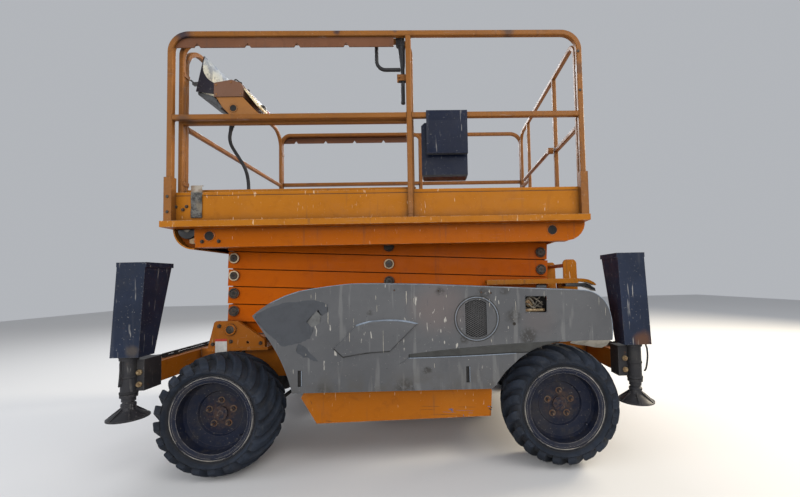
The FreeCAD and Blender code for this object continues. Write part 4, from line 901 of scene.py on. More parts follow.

# platform joint pins in the side beams, with rings and the bolts of the keeper plates
for s in (-1, 1):
    for i, (px, pz) in enumerate(((-1.076, 1.3395), (0.975, 1.3395))):
        bm = bmesh.new()
        turned_into(bm, [(0.0, 0.0), (0.028, 0.0), (0.028, 0.0012), (0.0, 0.0012)], (px, s * 0.6952, pz), (0, s, 0), 32)
        add_mesh("beam_hole_%d_%s" % (i, "left" if s < 0 else "right"), bm, "dark", "platform")
        bm = bmesh.new()
        turned_into(bm, [(0.028, 0.0), (0.033, 0.0), (0.033, 0.0022), (0.031, 0.003), (0.028, 0.003)], (px, s * 0.6952, pz), (0, s, 0), 36, close=True)
        add_mesh("beam_ring_%d_%s" % (i, "left" if s < 0 else "right"), bm, "beam", "platform")
    bm = bmesh.new()
    for bx, bz in ((-1.118, 1.306), (-1.021, 1.307)):
        hexhead(bm, (bx, s * 0.6952, bz), (0, s, 0), 0.015, 0.008, 0.011, 0.3)
    add_mesh("beam_bolts_" + ("left" if s < 0 else "right"), bm, "darkbolt", "platform", smooth=False)

for side, s in (("left", -1), ("right", 1)):
    bm = bmesh.new()
    brick(bm, (-1.305, min(s * 0.779, s * 0.7832), 1.3838), (1.176, max(s * 0.779, s * 0.7832), 1.4195), 0.0)
    add_mesh("edge_strip_" + side, bm, "deck", "platform", smooth=False)

# bent ends of the side strips over the rear corners, with a rubber flap below
for side, s in (("left", -1), ("right", 1)):
    bm = bmesh.new()
    slab(bm, [(1.1822, 1.0415), (1.215, 1.0395), (1.250, 1.0325), (1.283, 1.0155), (1.299, 0.9990), (1.291, 0.9935), (1.268, 1.0045), (1.234, 1.0160), (1.1822, 1.0210)], *sorted((s * 0.461, s * 0.547)), 0.0015)
    add_mesh("strip_end_" + side, bm, "deck", "chassis", split=40)
    bm = bmesh.new()
    slab(bm, [(1.100, 1.0105), (1.190, 1.0105), (1.232, 1.0095), (1.262, 0.9960), (1.292, 0.9760), (1.296, 0.9560), (1.270, 0.9680), (1.225, 0.9860), (1.100, 0.9900)], *sorted((s * 0.470, s * 0.540)), 0.0015)
    add_mesh("rubber_flap_" + side, bm, "knob", "chassis", split=40)

# scratches and scraped-off paint on the lower panels
for side, s in (("left", -1), ("right", 1)):
    for kind, mat_, lines in (("blue", "blue", ((0.3190, 0.3225, 0.3480, 0.3215, 0.0050), (0.3320, 0.3160, 0.3460, 0.3100, 0.0060), (0.3330, 0.3260, 0.3350, 0.3120, 0.0050), (0.4020, 0.2920, 0.4030, 0.2805, 0.0040),
                                               (0.2850, 0.3080, 0.3600, 0.3030, 0.0014), (0.3600, 0.3150, 0.4650, 0.3095, 0.0012), (0.5400, 0.3320, 0.5560, 0.3300, 0.0040), (0.4300, 0.2990, 0.4560, 0.2975, 0.0016))),
                              ("dark", "dark", ((0.1650, 0.3440, 0.2700, 0.3390, 0.0016), (0.1560, 0.3240, 0.2420, 0.3230, 0.0014), (0.2150, 0.2980, 0.3900, 0.2890, 0.0014), (0.3700, 0.3340, 0.4700, 0.3300, 0.0013),
                                               (0.5460, 0.3200, 0.5620, 0.3120, 0.0085), (0.5560, 0.3330, 0.5640, 0.3210, 0.0060), (-0.3700, 0.2790, -0.3300, 0.2740, 0.0022), (-0.4500, 0.3920, -0.4420, 0.3700, 0.0018)))):
        bm = bmesh.new()
        rr = random.Random(7 if kind == "blue" else 8)
        for x0, z0, x1, z1, w in lines:
            a, b = Vector((x0, 0, z0)), Vector((x1, 0, z1))
            side_ = Vector((-(b - a).z, 0, (b - a).x)).normalized()
            top_, low_ = [], []
            for i in range(8):
                t = i / 7
                half = w * 0.5 * (math.sin(math.pi * (0.08 + 0.86 * t)) ** 0.5) * rr.uniform(0.55, 1.2)
                c = a + (b - a) * t
                top_.append(bm.verts.new(((c + side_ * half).x, s * 0.8003, (c + side_ * half).z)))
                low_.append(bm.verts.new(((c - side_ * half).x, s * 0.8003, (c - side_ * half).z)))
            for i in range(7):
                bm.faces.new((low_[i], low_[i + 1], top_[i + 1], top_[i]))
        for f in bm.faces:
            f.normal_update()
            if f.normal.y * s < 0:
                f.normal_flip()
        add_mesh("panel_scratches_%s_%s" % (kind, side), bm, mat_, "chassis", smooth=False)

# ------------------------------------------------------- toe board folded lip
for side, s in (("left", -1), ("right", 1)):
    bm = bmesh.new()
    for x0, x1 in ((-1.262, 1.176),):
        rows = []
        prof = [(0.7380, 1.5745), (0.7388, 1.5760), (0.7389, 1.5830), (0.7389, 1.5890), (0.7380, 1.5921), (0.7340, 1.5930), (0.7290, 1.5928)]
        for x in [x0 + (x1 - x0) * i / 60 for i in range(61)]:
            w = 0.0004 * math.sin(x * 7.0) + 0.0003 * math.sin(x * 23)
            if s < 0 and -1.165 < x < -1.08:
                w = -0.0009
            rows.append([bm.verts.new((x, s * (y + w), z + w * 0.4)) for y, z in prof])
        for a, b in zip(rows, rows[1:]):
            for i in range(len(prof) - 1):
                bm.faces.new((a[i], a[i + 1], b[i + 1], b[i]))
    bmesh.ops.recalc_face_normals(bm, faces=bm.faces)
    add_mesh("toe_lip_" + side, bm, "deck", "platform", split=60)
    bm = bmesh.new()
    spans = [(-1.262, -1.160), (-1.086, 1.150)] if s < 0 else [(-1.262, 1.150)]
    for x0, x1 in spans:
        brick(bm, (x0, min(s * 0.7375, s * 0.7386), 1.5700), (x1, max(s * 0.7375, s * 0.7386), 1.5728), 0.0)
    add_mesh("toe_shadow_gap_" + side, bm, "dark", "platform", smooth=False)
    # bolts through the toe board and at the sockets of the posts
    bm = bmesh.new()
    for bx, bz in ((-1.201, 1.489), (-1.155 if s > 0 else -1.181, 1.508), (-1.243, 1.507)):
        hexhead(bm, (bx, s * 0.7382, bz), (0, s, 0), 0.013, 0.007, 0.0095, 0.2)
    for pxc in (-1.264,):
        for bz in (1.472, 1.560):
            hexhead(bm, (pxc, s * 0.7722, bz), (0, s, 0), 0.015, 0.0075, 0.010, 0.1)
    for bx, bz in ((1.142, 2.404), (1.145, 2.165)):
        turned_into(bm, [(0.0, 0.0), (0.0085, 0.0), (0.0078, 0.0035), (0.0045, 0.0052), (0.0, 0.0056)], (bx, s * 0.7722, bz), (0, s, 0), 16)
    add_mesh("toe_bolts_" + side, bm, "darkbolt", "platform", smooth=False)
    # weld beads at rails and posts
    bm = bmesh.new()
    for pxc in (0.124, 1.149, -1.264):
        for zc in (2.027,):
            for zz in (zc - 0.016, zc + 0.016):
                for e in (-1, 1):
                    xa = pxc + e * 0.0165
                    if -1.28 < xa < 1.15:
                        weld_into(bm, (xa, s * 0.742, zz), (xa, s * 0.770, zz), 0.0028)
        weld_into(bm, (pxc - 0.016, s * 0.7722, 1.4405), (pxc + 0.016, s * 0.7722, 1.4405), 0.0032)
    weld_into(bm, (0.124 - 0.0165, s * 0.742, 2.5075), (0.124 - 0.0165, s * 0.770, 2.5075), 0.0028)
    weld_into(bm, (0.124 + 0.0165, s * 0.742, 2.5075), (0.124 + 0.0165, s * 0.770, 2.5075), 0.0028)
    add_mesh("rail_welds_" + side, bm, "rail", "platform", split=60)

# ----------------------------------------------------------- front end roller
for side, s in (("left", -1), ("right", 1)):
    y0, y1 = sorted((s * 0.652, s * 0.690))
    half = [(-1.211 - 0.054 * math.cos(math.pi * i / 24), 1.380 - 0.054 * math.sin(math.pi * i / 24)) for i in range(25)]
    bm = bmesh.new()
    slab(bm, half, y0, y1, 0.002)
    add_mesh("slide_roller_" + side, bm, "knob", "platform", split=40)
    bm = bmesh.new()
    hub = [(-1.211 - 0.016 * math.cos(math.pi * i / 16), 1.380 - 0.016 * math.sin(math.pi * i / 16)) for i in range(17)]
    slab(bm, hub, *sorted((s * 0.690, s * 0.6935)), 0.0008)
    add_mesh("slide_roller_hub_" + side, bm, "loom", "platform", split=40)
    bm = bmesh.new()
    blk = [(-1.196, 1.2995), (-1.196, 1.321), (-1.172, 1.330), (-1.1665, 1.330), (-1.1665, 1.2935), (-1.180, 1.2945)]
    slab(bm, blk, *sorted((s * 0.660, s * 0.690)), 0.0015)
    add_mesh("slide_block_" + side, bm, "tan", "platform", split=40)

# ------------------------------------------------------------ floor treads
def lozenges(bm, x0, x1, y0, y1, z, pitch=0.034, high=0.0016):
    nx, ny = int((x1 - x0) / pitch), int((y1 - y0) / pitch)
    for i in range(nx):
        for j in range(ny):
            cx, cy = x0 + pitch * (i + 0.5), y0 + pitch * (j + 0.5)
            dx, dy = (0.0115, 0.0032) if (i + j) % 2 else (0.0032, 0.0115)
            low = [bm.verts.new((cx + a * dx, cy + b * dy, z)) for a, b in ((-1, 0), (0, -1), (1, 0), (0, 1))]
            top = [bm.verts.new((cx + a * dx * 0.7, cy + b * dy * 0.6, z + high)) for a, b in ((-1, 0), (0, -1), (1, 0), (0, 1))]
            for q in range(4):
                bm.faces.new((low[q], low[(q + 1) % 4], top[(q + 1) % 4], top[q]))
            bm.faces.new(top)


bm = bmesh.new()
lozenges(bm, -1.250, 0.140, -0.668, 0.668, 1.4401)
add_mesh("extension_tread", bm, "deck", "extension", smooth=False)
bm = bmesh.new()
lozenges(bm, 0.170, 1.150, -0.700, 0.700, 1.4181)
add_mesh("floor_tread", bm, "deck", "platform", smooth=False)

# ------------------------------------------------------------- control box
HX = [(-1.071, 2.195), (-1.071, 2.284), (-0.964, 2.303), (-0.910, 2.283), (-0.888, 2.249)]
bm = bmesh.new()
# upper housing and the sloping lower body
slab(bm, HX + [(-0.894, 2.197)], -0.672, -0.410, 0.0035)
add_mesh("box_head", bm, "housing_top", "extension", split=30)
bm = bmesh.new()
slab(bm, [(-1.062, 2.198), (-0.902, 2.200), (-0.800, 2.086), (-0.800, 2.0722), (-0.9645, 2.0722), (-1.024, 2.135)], -0.666, -0.550, 0.003)
for y in (-0.6735, -0.4085):
    for hx, hz in ((-1.055, 2.212), (-1.055, 2.270), (-0.966, 2.286), (-0.908, 2.212)):
        turned_into(bm, [(0.0, 0.0), (0.0052, 0.0), (0.0045, 0.0022), (0.0, 0.0028)], (hx, y + (0.0015 if y < -0.5 else -0.0015), hz), (0, -1 if y < -0.5 else 1, 0), 12)
add_mesh("box_body", bm, "housing", "extension", split=30)
bm = bmesh.new()
WG = [(-1.178, 2.230), (-1.131, 2.453), (-1.1275, 2.440)] + [(x / 1000, z / 1000) for x, z in arc((-1127, 2440), (-1122, 2330), (-1071, 2284), 12)] + [(-1.071, 2.213)]
slab(bm, WG, -0.672, -0.668, 0.0012)
slab(bm, WG, -0.414, -0.410, 0.0012)
for y in (-0.6722, -0.4098):
    for hx, hz in ((-1.150, 2.262), (-1.090, 2.245), (-1.139, 2.385)):
        turned_into(bm, [(0.0, 0.0), (0.0055, 0.0), (0.0048, 0.0024), (0.0, 0.003)], (hx, y, hz), (0, -1 if y < -0.5 else 1, 0), 12)
add_mesh("box_wings", bm, "wing", "extension", split=30)
# weathered back shield, slightly dished
bm = bmesh.new()
rows = []
for i in range(17):
    y = -0.668 + 0.254 * i / 16
    row = []
    for j in range(9):
        t = j / 8
        x = -1.1745 + 0.0465 * t + 0.004 * math.sin(math.pi * i / 16) * math.sin(math.pi * t)
        row.append(bm.verts.new((x, y, 2.236 + 0.216 * t)))
    rows.append(row)
for a, b in zip(rows, rows[1:]):
    for j in range(8):
        bm.faces.new((a[j], b[j], b[j + 1], a[j + 1]))
o = add_mesh("box_shield", bm, "shield", "extension", split=60)
m = o.modifiers.new("thick", "SOLIDIFY")
m.thickness = 0.003
m.offset = 0
# panel face towards the rear, with controls
d = Vector((-0.762 + 0.888, 0, 2.083 - 2.249)).normalized()
nrm = Vector((-d.z, 0, d.x))
if nrm.x < 0:
    nrm = -nrm


def on_panel(t, y, lift=0.0):
    """Point on the panel face: t metres down from its top edge."""
    p = Vector((-0.888, y, 2.249)) + d * t + nrm * lift
    return p


bm = bmesh.new()
for (t0, t1, y0, y1, h) in ((0.003, 0.139, -0.671, -0.411, 0.0028),):
    q = [on_panel(t0, y0, h), on_panel(t1, y0, h), on_panel(t1, y1, h), on_panel(t0, y1, h)]
    b = [on_panel(t0, y0, -0.006), on_panel(t1, y0, -0.006), on_panel(t1, y1, -0.006), on_panel(t0, y1, -0.006)]
    vq = [bm.verts.new(p) for p in q]
    vb = [bm.verts.new(p) for p in b]
    bm.faces.new(vq)
    bm.faces.new(list(reversed(vb)))
    for i in range(4):
        bm.faces.new((vq[i], vb[i], vb[(i + 1) % 4], vq[(i + 1) % 4]))
bmesh.ops.recalc_face_normals(bm, faces=bm.faces)
bmesh.ops.bevel(bm, geom=bm.edges[:], offset=0.0015, segments=2, profile=0.6, affect="EDGES")
add_mesh("box_panel", bm, "cream", "extension", split=30)
bm = bmesh.new()
for t, y in ((0.030, -0.640), (0.030, -0.600), (0.030, -0.560), (0.110, -0.640), (0.110, -0.600)):
    turned_into(bm, [(0.0, 0.0), (0.0085, 0.0), (0.0085, 0.0018), (0.0060, 0.0024), (0.0, 0.0028)], on_panel(t, y, 0.0025), nrm, 20)
for t, y in ((0.070, -0.520),):
    turned_into(bm, [(0.0, 0.0), (0.022, 0.0), (0.022, 0.003), (0.017, 0.006), (0.013, 0.012), (0.010, 0.017), (0.0, 0.019)], on_panel(t, y, 0.0025), nrm, 24)
for t, y in ((0.045, -0.470), (0.115, -0.46)):
    turned_into(bm, [(0.0, 0.0), (0.012, 0.0), (0.012, 0.002), (0.009, 0.0035), (0.0, 0.004)], on_panel(t, y, 0.0025), nrm, 24)
# switch guards on the top of the housing
turned_into(bm, [(0.0, 0.0), (0.0125, 0.0), (0.0125, 0.018), (0.0095, 0.026), (0.0, 0.029)], (-0.944, -0.610, 2.292), (0.15, 0, 1), 20)
turned_into(bm, [(0.0, 0.0), (0.0125, 0.0), (0.0125, 0.018), (0.0095, 0.026), (0.0, 0.029)], (-0.942, -0.520, 2.292), (0.15, 0, 1), 20)
turned_into(bm, [(0.0, 0.0), (0.010, 0.0), (0.010, 0.014), (0.007, 0.020), (0.0, 0.022)], (-1.000, -0.460, 2.294), (-0.15, 0, 1), 20)
pipe_into(bm, [(-0.965, -0.630, 2.300), (-0.966, -0.630, 2.3240), (-0.962, -0.624, 2.3290), (-0.958, -0.600, 2.330), (-0.957, -0.540, 2.330), (-0.961, -0.520, 2.3285), (-0.964, -0.512, 2.3230), (-0.963, -0.512, 2.298)], 0.004, 8)
add_mesh("box_controls", bm, "knob", "extension", split=40)
bm = bmesh.new()
turned_into(bm, [(0.0, 0.0), (0.016, 0.0), (0.0175, 0.003), (0.0165, 0.0075), (0.0, 0.009)], on_panel(0.075, -0.455, 0.0025), nrm, 28)
add_mesh("box_stop_button", bm, "knob_red", "extension", split=40)
# round recess on the near side and mottled hanger
bm = bmesh.new()
turned_into(bm, [(0.020, 0.0), (0.026, 0.0), (0.026, 0.002), (0.0235, 0.0035), (0.020, 0.002)], (-0.955, -0.6665, 2.126), (0, -1, 0), 30, close=True)
add_mesh("box_recess_rim", bm, "housing", "extension")
# dark disc in the recess: painted shade
bm = bmesh.new()
turned_into(bm, [(0.0, 0.0), (0.0205, 0.0), (0.0205, 0.0008), (0.0, 0.0008)], (-0.955, -0.6663, 2.126), (0, -1, 0), 28)
add_mesh("box_recess", bm, "dark", "extension")
bm = bmesh.new()
slab(bm, [(-1.1755, 2.232), (-1.082, 2.2085), (-1.024, 2.135), (-1.038, 2.128), (-1.096, 2.172), (-1.170, 2.214)], -0.660, -0.424, 0.0015)
pipe_into(bm, [(-1.2215, -0.652, 2.3105), (-1.2215, -0.648, 2.3105), (-1.2215, -0.43, 2.3105), (-1.2215, -0.426, 2.3105)], 0.005, 10)
for y0, y1 in ((-0.640, -0.616), (-0.470, -0.446)):
    slab(bm, [(-1.222, 2.290), (-1.222, 2.305), (-1.1611, 2.311), (-1.1643, 2.296)], y0, y1, 0.001)
add_mesh("box_hanger", bm, "mottle", "extension", split=30)
bm = bmesh.new()
pipe_into(bm, [(-0.998, -0.600, 2.112), (-0.998, -0.600, 2.082), (-0.9985, -0.600, 2.066), (-0.999, -0.600, 2.050), (-1.003, -0.6002, 2.032), (-1.007, -0.6004, 2.014)], [0.0165, 0.0165, 0.0150, 0.0135, 0.0125, 0.0108], 20)
for i in range(5):
    z = 2.074 - i * 0.009
    turned_into(bm, [(0.010, -0.0016), (0.0165 - i * 0.0006, -0.0016), (0.0165 - i * 0.0006, 0.0016), (0.010, 0.0016)], (-0.9985 - 0.0005 * i, -0.600, z), (0, 0, 1), 20, close=True)
o = add_mesh("box_strain_relief", bm, "cable", "extension", split=50)
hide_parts("control_box")

# ------------------------------------------------------------ document box
bm = bmesh.new()
# flap with a fold, curled lip and riveted hinge line
n = 16
rows = []
for i in range(n + 1):
    x = 0.2245 + 0.241 * i / n
    bulge = 0.0006 * math.sin(math.pi * i / n)
    rows.append([bm.verts.new((x, -y - b * bulge, z)) for y, z, b in ((0.7781, 2.0483, 0), (0.7786, 2.0440, 1), (0.7783, 1.9925, 1), (0.7790, 1.9880, 1), (0.7783, 1.9840, 1), (0.7784, 1.8010, 2), (0.7792, 1.7960, 2), (0.7796, 1.7915, 2), (0.7775, 1.7895, 1), (0.7745, 1.7895, 0))])
for a, b in zip(rows, rows[1:]):
    for i in range(9):
        bm.faces.new((a[i], b[i], b[i + 1], a[i + 1]))
bmesh.ops.recalc_face_normals(bm, faces=bm.faces)
for bx in (0.243, 0.345, 0.447):
    turned_into(bm, [(0.0, 0.0), (0.0055, 0.0), (0.005, 0.0018), (0.0, 0.0026)], (bx, -0.7784, 2.022), (0, -1, 0), 12)
for bx in (0.240, 0.345, 0.450):
    turned_into(bm, [(0.0, 0.0), (0.0065, 0.0), (0.005, 0.0020), (0.0, 0.0026)], (bx, -0.6398, 1.955), (0, 1, 0), 12)
add_mesh("document_flap", bm, "box", "platform", split=50)
# dark strips under the flap's lip and along the lower edge: painted shadow
bm = bmesh.new()
brick(bm, (0.2260, -0.7748, 1.7850), (0.4640, -0.7738, 1.7895), 0.0)
slab(bm, [(0.1935, 1.668), (0.1935, 1.6755), (0.4655, 1.6755), (0.4575, 1.6655), (0.2005, 1.6655)], -0.7366, -0.7360, 0.0)
add_mesh("document_edge", bm, "dark", "platform", smooth=False)

# -------------------------------------------------------------- slide lock
bm = bmesh.new()
yb = -0.704
turned_into(bm, [(0.0, 0.0), (0.0250, 0.0), (0.0250, 0.052), (0.0235, 0.060), (0.0, 0.062)], (0.073, yb - 0.004, 2.4745), (0, 0, 1), 6)
slab(bm, [(0.049, 2.480), (0.099, 2.480), (0.0985, 2.536), (0.092, 2.5475), (0.056, 2.5475), (0.0495, 2.536)], -0.7255, -0.7195, 0.002)
# tapered sleeve down to the rod
pipe_into(bm, [(0.080, yb - 0.004, 2.474), (0.081, yb - 0.003, 2.455), (0.083, yb - 0.001, 2.41), (0.085, yb, 2.365), (0.085, yb, 2.345)], [0.0225, 0.0205, 0.0180, 0.0152, 0.0130], 20)
turned_into(bm, [(0.0, 0.0), (0.0120, 0.0), (0.0130, 0.003), (0.0130, 0.012), (0.0, 0.012)], (0.085, yb, 2.1235), (0, 0, 1), 20)
add_mesh("lock_handle", bm, "lock", "extension", split=35)
bm = bmesh.new()
brick(bm, (0.052, yb - 0.0185, 2.2600), (0.1175, yb - 0.0173, 2.2980), 0.0)
brick(bm, (0.052, yb - 0.0185, 2.2490), (0.0610, yb - 0.0120, 2.2600), 0.001)
hexhead(bm, (0.064, yb - 0.0185, 2.279), (0, -1, 0), 0.011, 0.005, 0.0075, 0.2)
add_mesh("lock_guide", bm, "rail", "extension", smooth=False)

# ----------------------------------------------------- lift cylinder fittings
BASE = Vector((0.831430, 0.0, 0.865345))
RUN = Vector((math.cos(math.radians(175.130029)), 0, math.sin(math.radians(175.130029))))


def along(t, y=0.0, lift=0.0):
    n = Vector((RUN.z, 0, -RUN.x))
    return BASE + RUN * t + Vector((0, y, 0)) + n * lift


bm = bmesh.new()
turned_into(bm, [(0.0375, 1.5205), (0.0535, 1.5205), (0.0535, 1.5300), (0.0505, 1.5330), (0.0445, 1.5330), (0.0445, 1.5380), (0.0375, 1.5385)], along(0), RUN, 40, close=True)
for t in (0.060, 1.470):
    turned_into(bm, [(0.0478, t - 0.006), (0.0495, t - 0.004), (0.0500, t), (0.0495, t + 0.004), (0.0478, t + 0.006)], along(0), RUN, 40, close=True)
for t in (0.115, 1.452):
    turned_into(bm, [(0.0, 0.046), (0.013, 0.046), (0.013, 0.060), (0.009, 0.063), (0.009, 0.070), (0.0, 0.070)], along(t), (RUN.z, 0, -RUN.x), 12)
pipe_into(bm, smooth_path([along(1.452, 0, 0.060), along(1.452, 0.0, 0.072), along(1.440, 0.002, 0.0775), along(1.38, 0.004, 0.068), along(1.20, 0.006, 0.058), along(0.70, 0.006, 0.058), along(0.30, 0.006, 0.060), along(0.22, 0.010, 0.066)], 6), 0.0052, 8)
for t in (0.40, 0.80, 1.20):
    brick(bm, along(t, -0.012, 0.0555) - Vector((0.012, 0, 0.008)), along(t, 0.022, 0.0555) + Vector((0.012, 0, 0.011)), 0.002)
add_mesh("cylinder_fittings", bm, "barrel", "lift_barrel", split=40)

# --------------------------------------------------------------- hood faces
TOP_CURVE = [(0.105, 0.649)] + [(x / 1000, z / 1000) for x, z in arc((105, 649), (272, 666), (463, 680), 14) + arc((463, 680), (738, 695), (940, 700), 14)]
LOW_CURVE = [(0.104, 0.628)] + [(x / 1000, z / 1000) for x, z in arc((104, 628), (407, 631), (695, 639), 20)] + [(0.940, 0.640)]
ARCH = [(0.715, 0.612)] + [(x / 1000, z / 1000) for x, z in arc((715, 612), (828, 669), (940, 694), 20)]


def at_x(curve, x):
    for (x0, z0), (x1, z1) in zip(curve, curve[1:]):
        if x0 <= x <= x1:
            return z0 + (z1 - z0) * (x - x0) / max(1e-9, x1 - x0)
    return curve[-1][1] if x > curve[-1][0] else curve[0][1]


for side, s in (("left", -1), ("right", 1)):
    body = "hood_" + side
    # band that leans in towards its lower ledge
    bm = bmesh.new()
    rows = []
    xs = [0.1065 + (0.925 - 0.1065) * i / 90 for i in range(91)]
    for x in xs:
        zt, zb = at_x(TOP_CURVE, x) - 0.0004, at_x(LOW_CURVE, x) + 0.0003
        za = at_x(ARCH, x) + 0.0015 if x > 0.715 else 0
        full = zt - zb
        zb2 = max(zb, za)
        row = []
        for j in range(7):
            t = j / 6
            z = zt + (zb2 - zt) * t
            deep = (zt - z) / full
            row.append(bm.verts.new((x, s * (0.8698 - 0.0046 * min(1.0, deep * 1.15) ** 0.8), z)))
        rows.append(row)
    for a, b in zip(rows, rows[1:]):
        for j in range(6):
            bm.faces.new((a[j], b[j], b[j + 1], a[j + 1]))
    bmesh.ops.recalc_face_normals(bm, faces=bm.faces)
    o = add_mesh("hood_band_" + side, bm, "hood_low", body, split=70)
    m = o.modifiers.new("thick", "SOLIDIFY")
    m.thickness = 0.0008
    m.offset = -1
    # raised field with sloping flanks: painted highlight above, painted shade below
    FLD = [(-295, 689), (-176, 808)] + [(-150, 817), (-105, 828), (-24, 833)] + arc((-24, 833), (70, 829), (150, 812), 6) + [(3, 670)] + arc((3, 670), (-121, 664), (-249, 645), 8)
    FLD = [Vector((x / 1000, 0, z / 1000)) for x, z in FLD]
    k = len(FLD)
    centre = sum(FLD, Vector()) / k
    outs, ins = [], []
    for i in range(k):
        a, b, c = FLD[i - 1], FLD[i], FLD[(i + 1) % k]
        n1 = Vector((-(b - a).z, 0, (b - a).x)).normalized()
        n2 = Vector((-(c - b).z, 0, (c - b).x)).normalized()
        nn = (n1 + n2).normalized()
        if nn.dot(b - centre) < 0:
            nn = -nn
        scale = 1 / max(0.5, abs(nn.dot(n1)))
        outs.append(b + nn * 0.0065 * scale)
        ins.append(b - nn * 0.0012 * scale)
    for part, name_, mat_ in (("up", "field_rim_top_", "hood_edge"), ("down", "field_rim_low_", "hood_shade"), ("side", "field_rim_end_", "hood")):
        bm = bmesh.new()
        for i in range(k):
            j = (i + 1) % k
            slope = (outs[i] + outs[j]) / 2 - (ins[i] + ins[j]) / 2
            kind = "up" if slope.z > 0.0035 else ("down" if slope.z < -0.003 else "side")
            if kind != part:
                continue
            q = [bm.verts.new((p.x, s * y, p.z)) for p, y in ((outs[i], 0.8702), (outs[j], 0.8702), (ins[j], 0.8786), (ins[i], 0.8786))]
            bm.faces.new(q)
        if bm.faces:
            bmesh.ops.recalc_face_normals(bm, faces=bm.faces)
            for f in bm.faces:
                if f.normal.y * s < 0:
                    f.normal_flip()
            add_mesh(name_ + side, bm, mat_, body, smooth=False)
        else:
            bm.free()
    # painted highlight along the hood's upper rim and on the ledge under the band
    TOPS = [(-642, 944)] + [(-560, 981), (-480, 1006)] + arc((-480, 1006), (-317, 1029), (-197, 1040), 8) + [(-66, 1038), (65, 1034), (200, 1029), (340, 1021), (616, 1004), (850, 991), (1090, 977)] + arc((1090, 977), (1173, 942), (1221, 874), 8) + arc((1221, 874), (1236, 790), (1233, 705), 8)
    bm = bmesh.new()
    pipe_into(bm, [(x / 1000, s * 0.8688, z / 1000 - 0.0017) for x, z in TOPS], 0.0021, 8)
    add_mesh("hood_rim_" + side, bm, "hood_edge", body)
    bm = bmesh.new()
    led = [(x, z) for x, z in LOW_CURVE if x < 0.725]
    pipe_into(bm, [(x, s * 0.8694, z - 0.0010) for x, z in led], 0.0023, 8)
    add_mesh("hood_ledge_" + side, bm, "hood_edge", body)
    bm = bmesh.new()
    up = [(1.010, 0.7005), (1.060, 0.7005), (1.110, 0.7005), (1.160, 0.7005), (1.205, 0.7005), (1.228, 0.7005)]
    dn = [(1.0045, 0.683), (1.058, 0.668), (1.112, 0.660), (1.165, 0.646), (1.205, 0.642), (1.226, 0.660)]
    top_ = [bm.verts.new((x, s * 0.8655, z)) for x, z in up]
    low_ = [bm.verts.new((x, s * (0.8655 - (0.7005 - z) * 1.25), z)) for x, z in dn]
    for i in range(5):
        bm.faces.new((top_[i], top_[i + 1], low_[i + 1], low_[i]))
    bmesh.ops.recalc_face_normals(bm, faces=bm.faces)
    o = add_mesh("hood_torn_edge_" + side, bm, "scrape", body, smooth=False)
    m = o.modifiers.new("thick", "SOLIDIFY")
    m.thickness = 0.0016
    m.offset = 0.0
    PATCHES = [
        ("hood_dark", [(-0.7205, 0.8830), (-0.6452, 0.9178), (-0.5765, 0.9418), (-0.3975, 0.9543), (-0.3286, 0.9278), (-0.3324, 0.8842), (-0.3636, 0.8677), (-0.3826, 0.9013), (-0.4464, 0.8365),
                       (-0.4067, 0.8024), (-0.4276, 0.7451), (-0.4915, 0.7227), (-0.5771, 0.7078), (-0.6350, 0.7641), (-0.6950, 0.8240), (-0.7190, 0.8560)]),
        ("hood_dark", [(-0.4915, 0.7207), (-0.4573, 0.7047), (-0.3844, 0.6240), (-0.4098, 0.6247), (-0.4473, 0.6496), (-0.4624, 0.6446), (-0.5019, 0.6784)]),
        ("hood_pale", [(-0.3900, 0.8973), (-0.3660, 0.8642), (-0.3762, 0.8265), (-0.4190, 0.8069), (-0.4429, 0.8350)]),
    ]
    for pi, (mat_, ring) in enumerate(PATCHES):
        bm = bmesh.new()
        rr = random.Random(40 + pi)
        fine = []
        for i in range(len(ring)):
            ax, az = ring[i]
            bx, bz = ring[(i + 1) % len(ring)]
            for q in range(5):
                t = q / 5
                j = 0.0 if q == 0 else 0.0028
                fine.append((ax + (bx - ax) * t + rr.uniform(-j, j), az + (bz - az) * t + rr.uniform(-j, j)))
        lift = 0.8703 if mat_ == "hood_dark" else 0.8705
        bm.faces.new([bm.verts.new((x, s * lift, z)) for x, z in fine])
        bmesh.ops.triangulate(bm, faces=bm.faces[:])
        for f in bm.faces:
            f.normal_update()
            if f.normal.y * s < 0:
                f.normal_flip()
        add_mesh("hood_patch_%d_%s" % (pi, side), bm, mat_, body, smooth=False)
    # long scrapes down to the pale undercoat
    bm = bmesh.new()
    rr = random.Random(90)
    for x, za, zb, w in ((-0.3290, 0.8876, 0.8185, 0.0042), (-0.0683, 0.9720, 0.9476, 0.0032), (-0.0635, 0.9196, 0.8815, 0.0030), (0.0980, 0.9927, 0.9194, 0.0044), (0.1386, 0.9534, 0.9241, 0.0026),
                         (-0.1900, 0.8497, 0.8254, 0.0034), (-0.420, 0.985, 0.962, 0.0028), (-0.395, 0.995, 0.950, 0.0026), (-0.34, 0.93, 0.915, 0.0030),
                         (0.318, 0.968, 0.952, 0.003), (0.556, 0.940, 0.895, 0.0032), (0.700, 0.925, 0.870, 0.0028), (0.560, 0.720, 0.700, 0.003), (0.245, 0.596, 0.570, 0.003), (-0.45, 0.665, 0.655, 0.003),
                         (0.86, 0.975, 0.940, 0.0026), (1.165, 0.935, 0.890, 0.0022), (1.20, 0.88, 0.83, 0.0022)):
        n_ = 9
        left, right = [], []
        for i in range(n_):
            t = i / (n_ - 1)
            half = w * 0.5 * (math.sin(math.pi * (0.12 + 0.86 * t)) ** 0.6) * rr.uniform(0.7, 1.15)
            cx = x + rr.uniform(-0.0006, 0.0006)
            z = za + (zb - za) * t
            left.append(bm.verts.new((cx - half, s * 0.8707, z)))
            right.append(bm.verts.new((cx + half, s * 0.8707, z)))
        for i in range(n_ - 1):
            bm.faces.new((left[i], right[i], right[i + 1], left[i + 1]))
    for x, za, zb, w in ((-0.2120, 0.7742, 0.7225, 0.0040), (-0.0300, 0.7835, 0.6593, 0.0030)):
        n_ = 12
        left, right = [], []
        for i in range(n_):
            t = i / (n_ - 1)
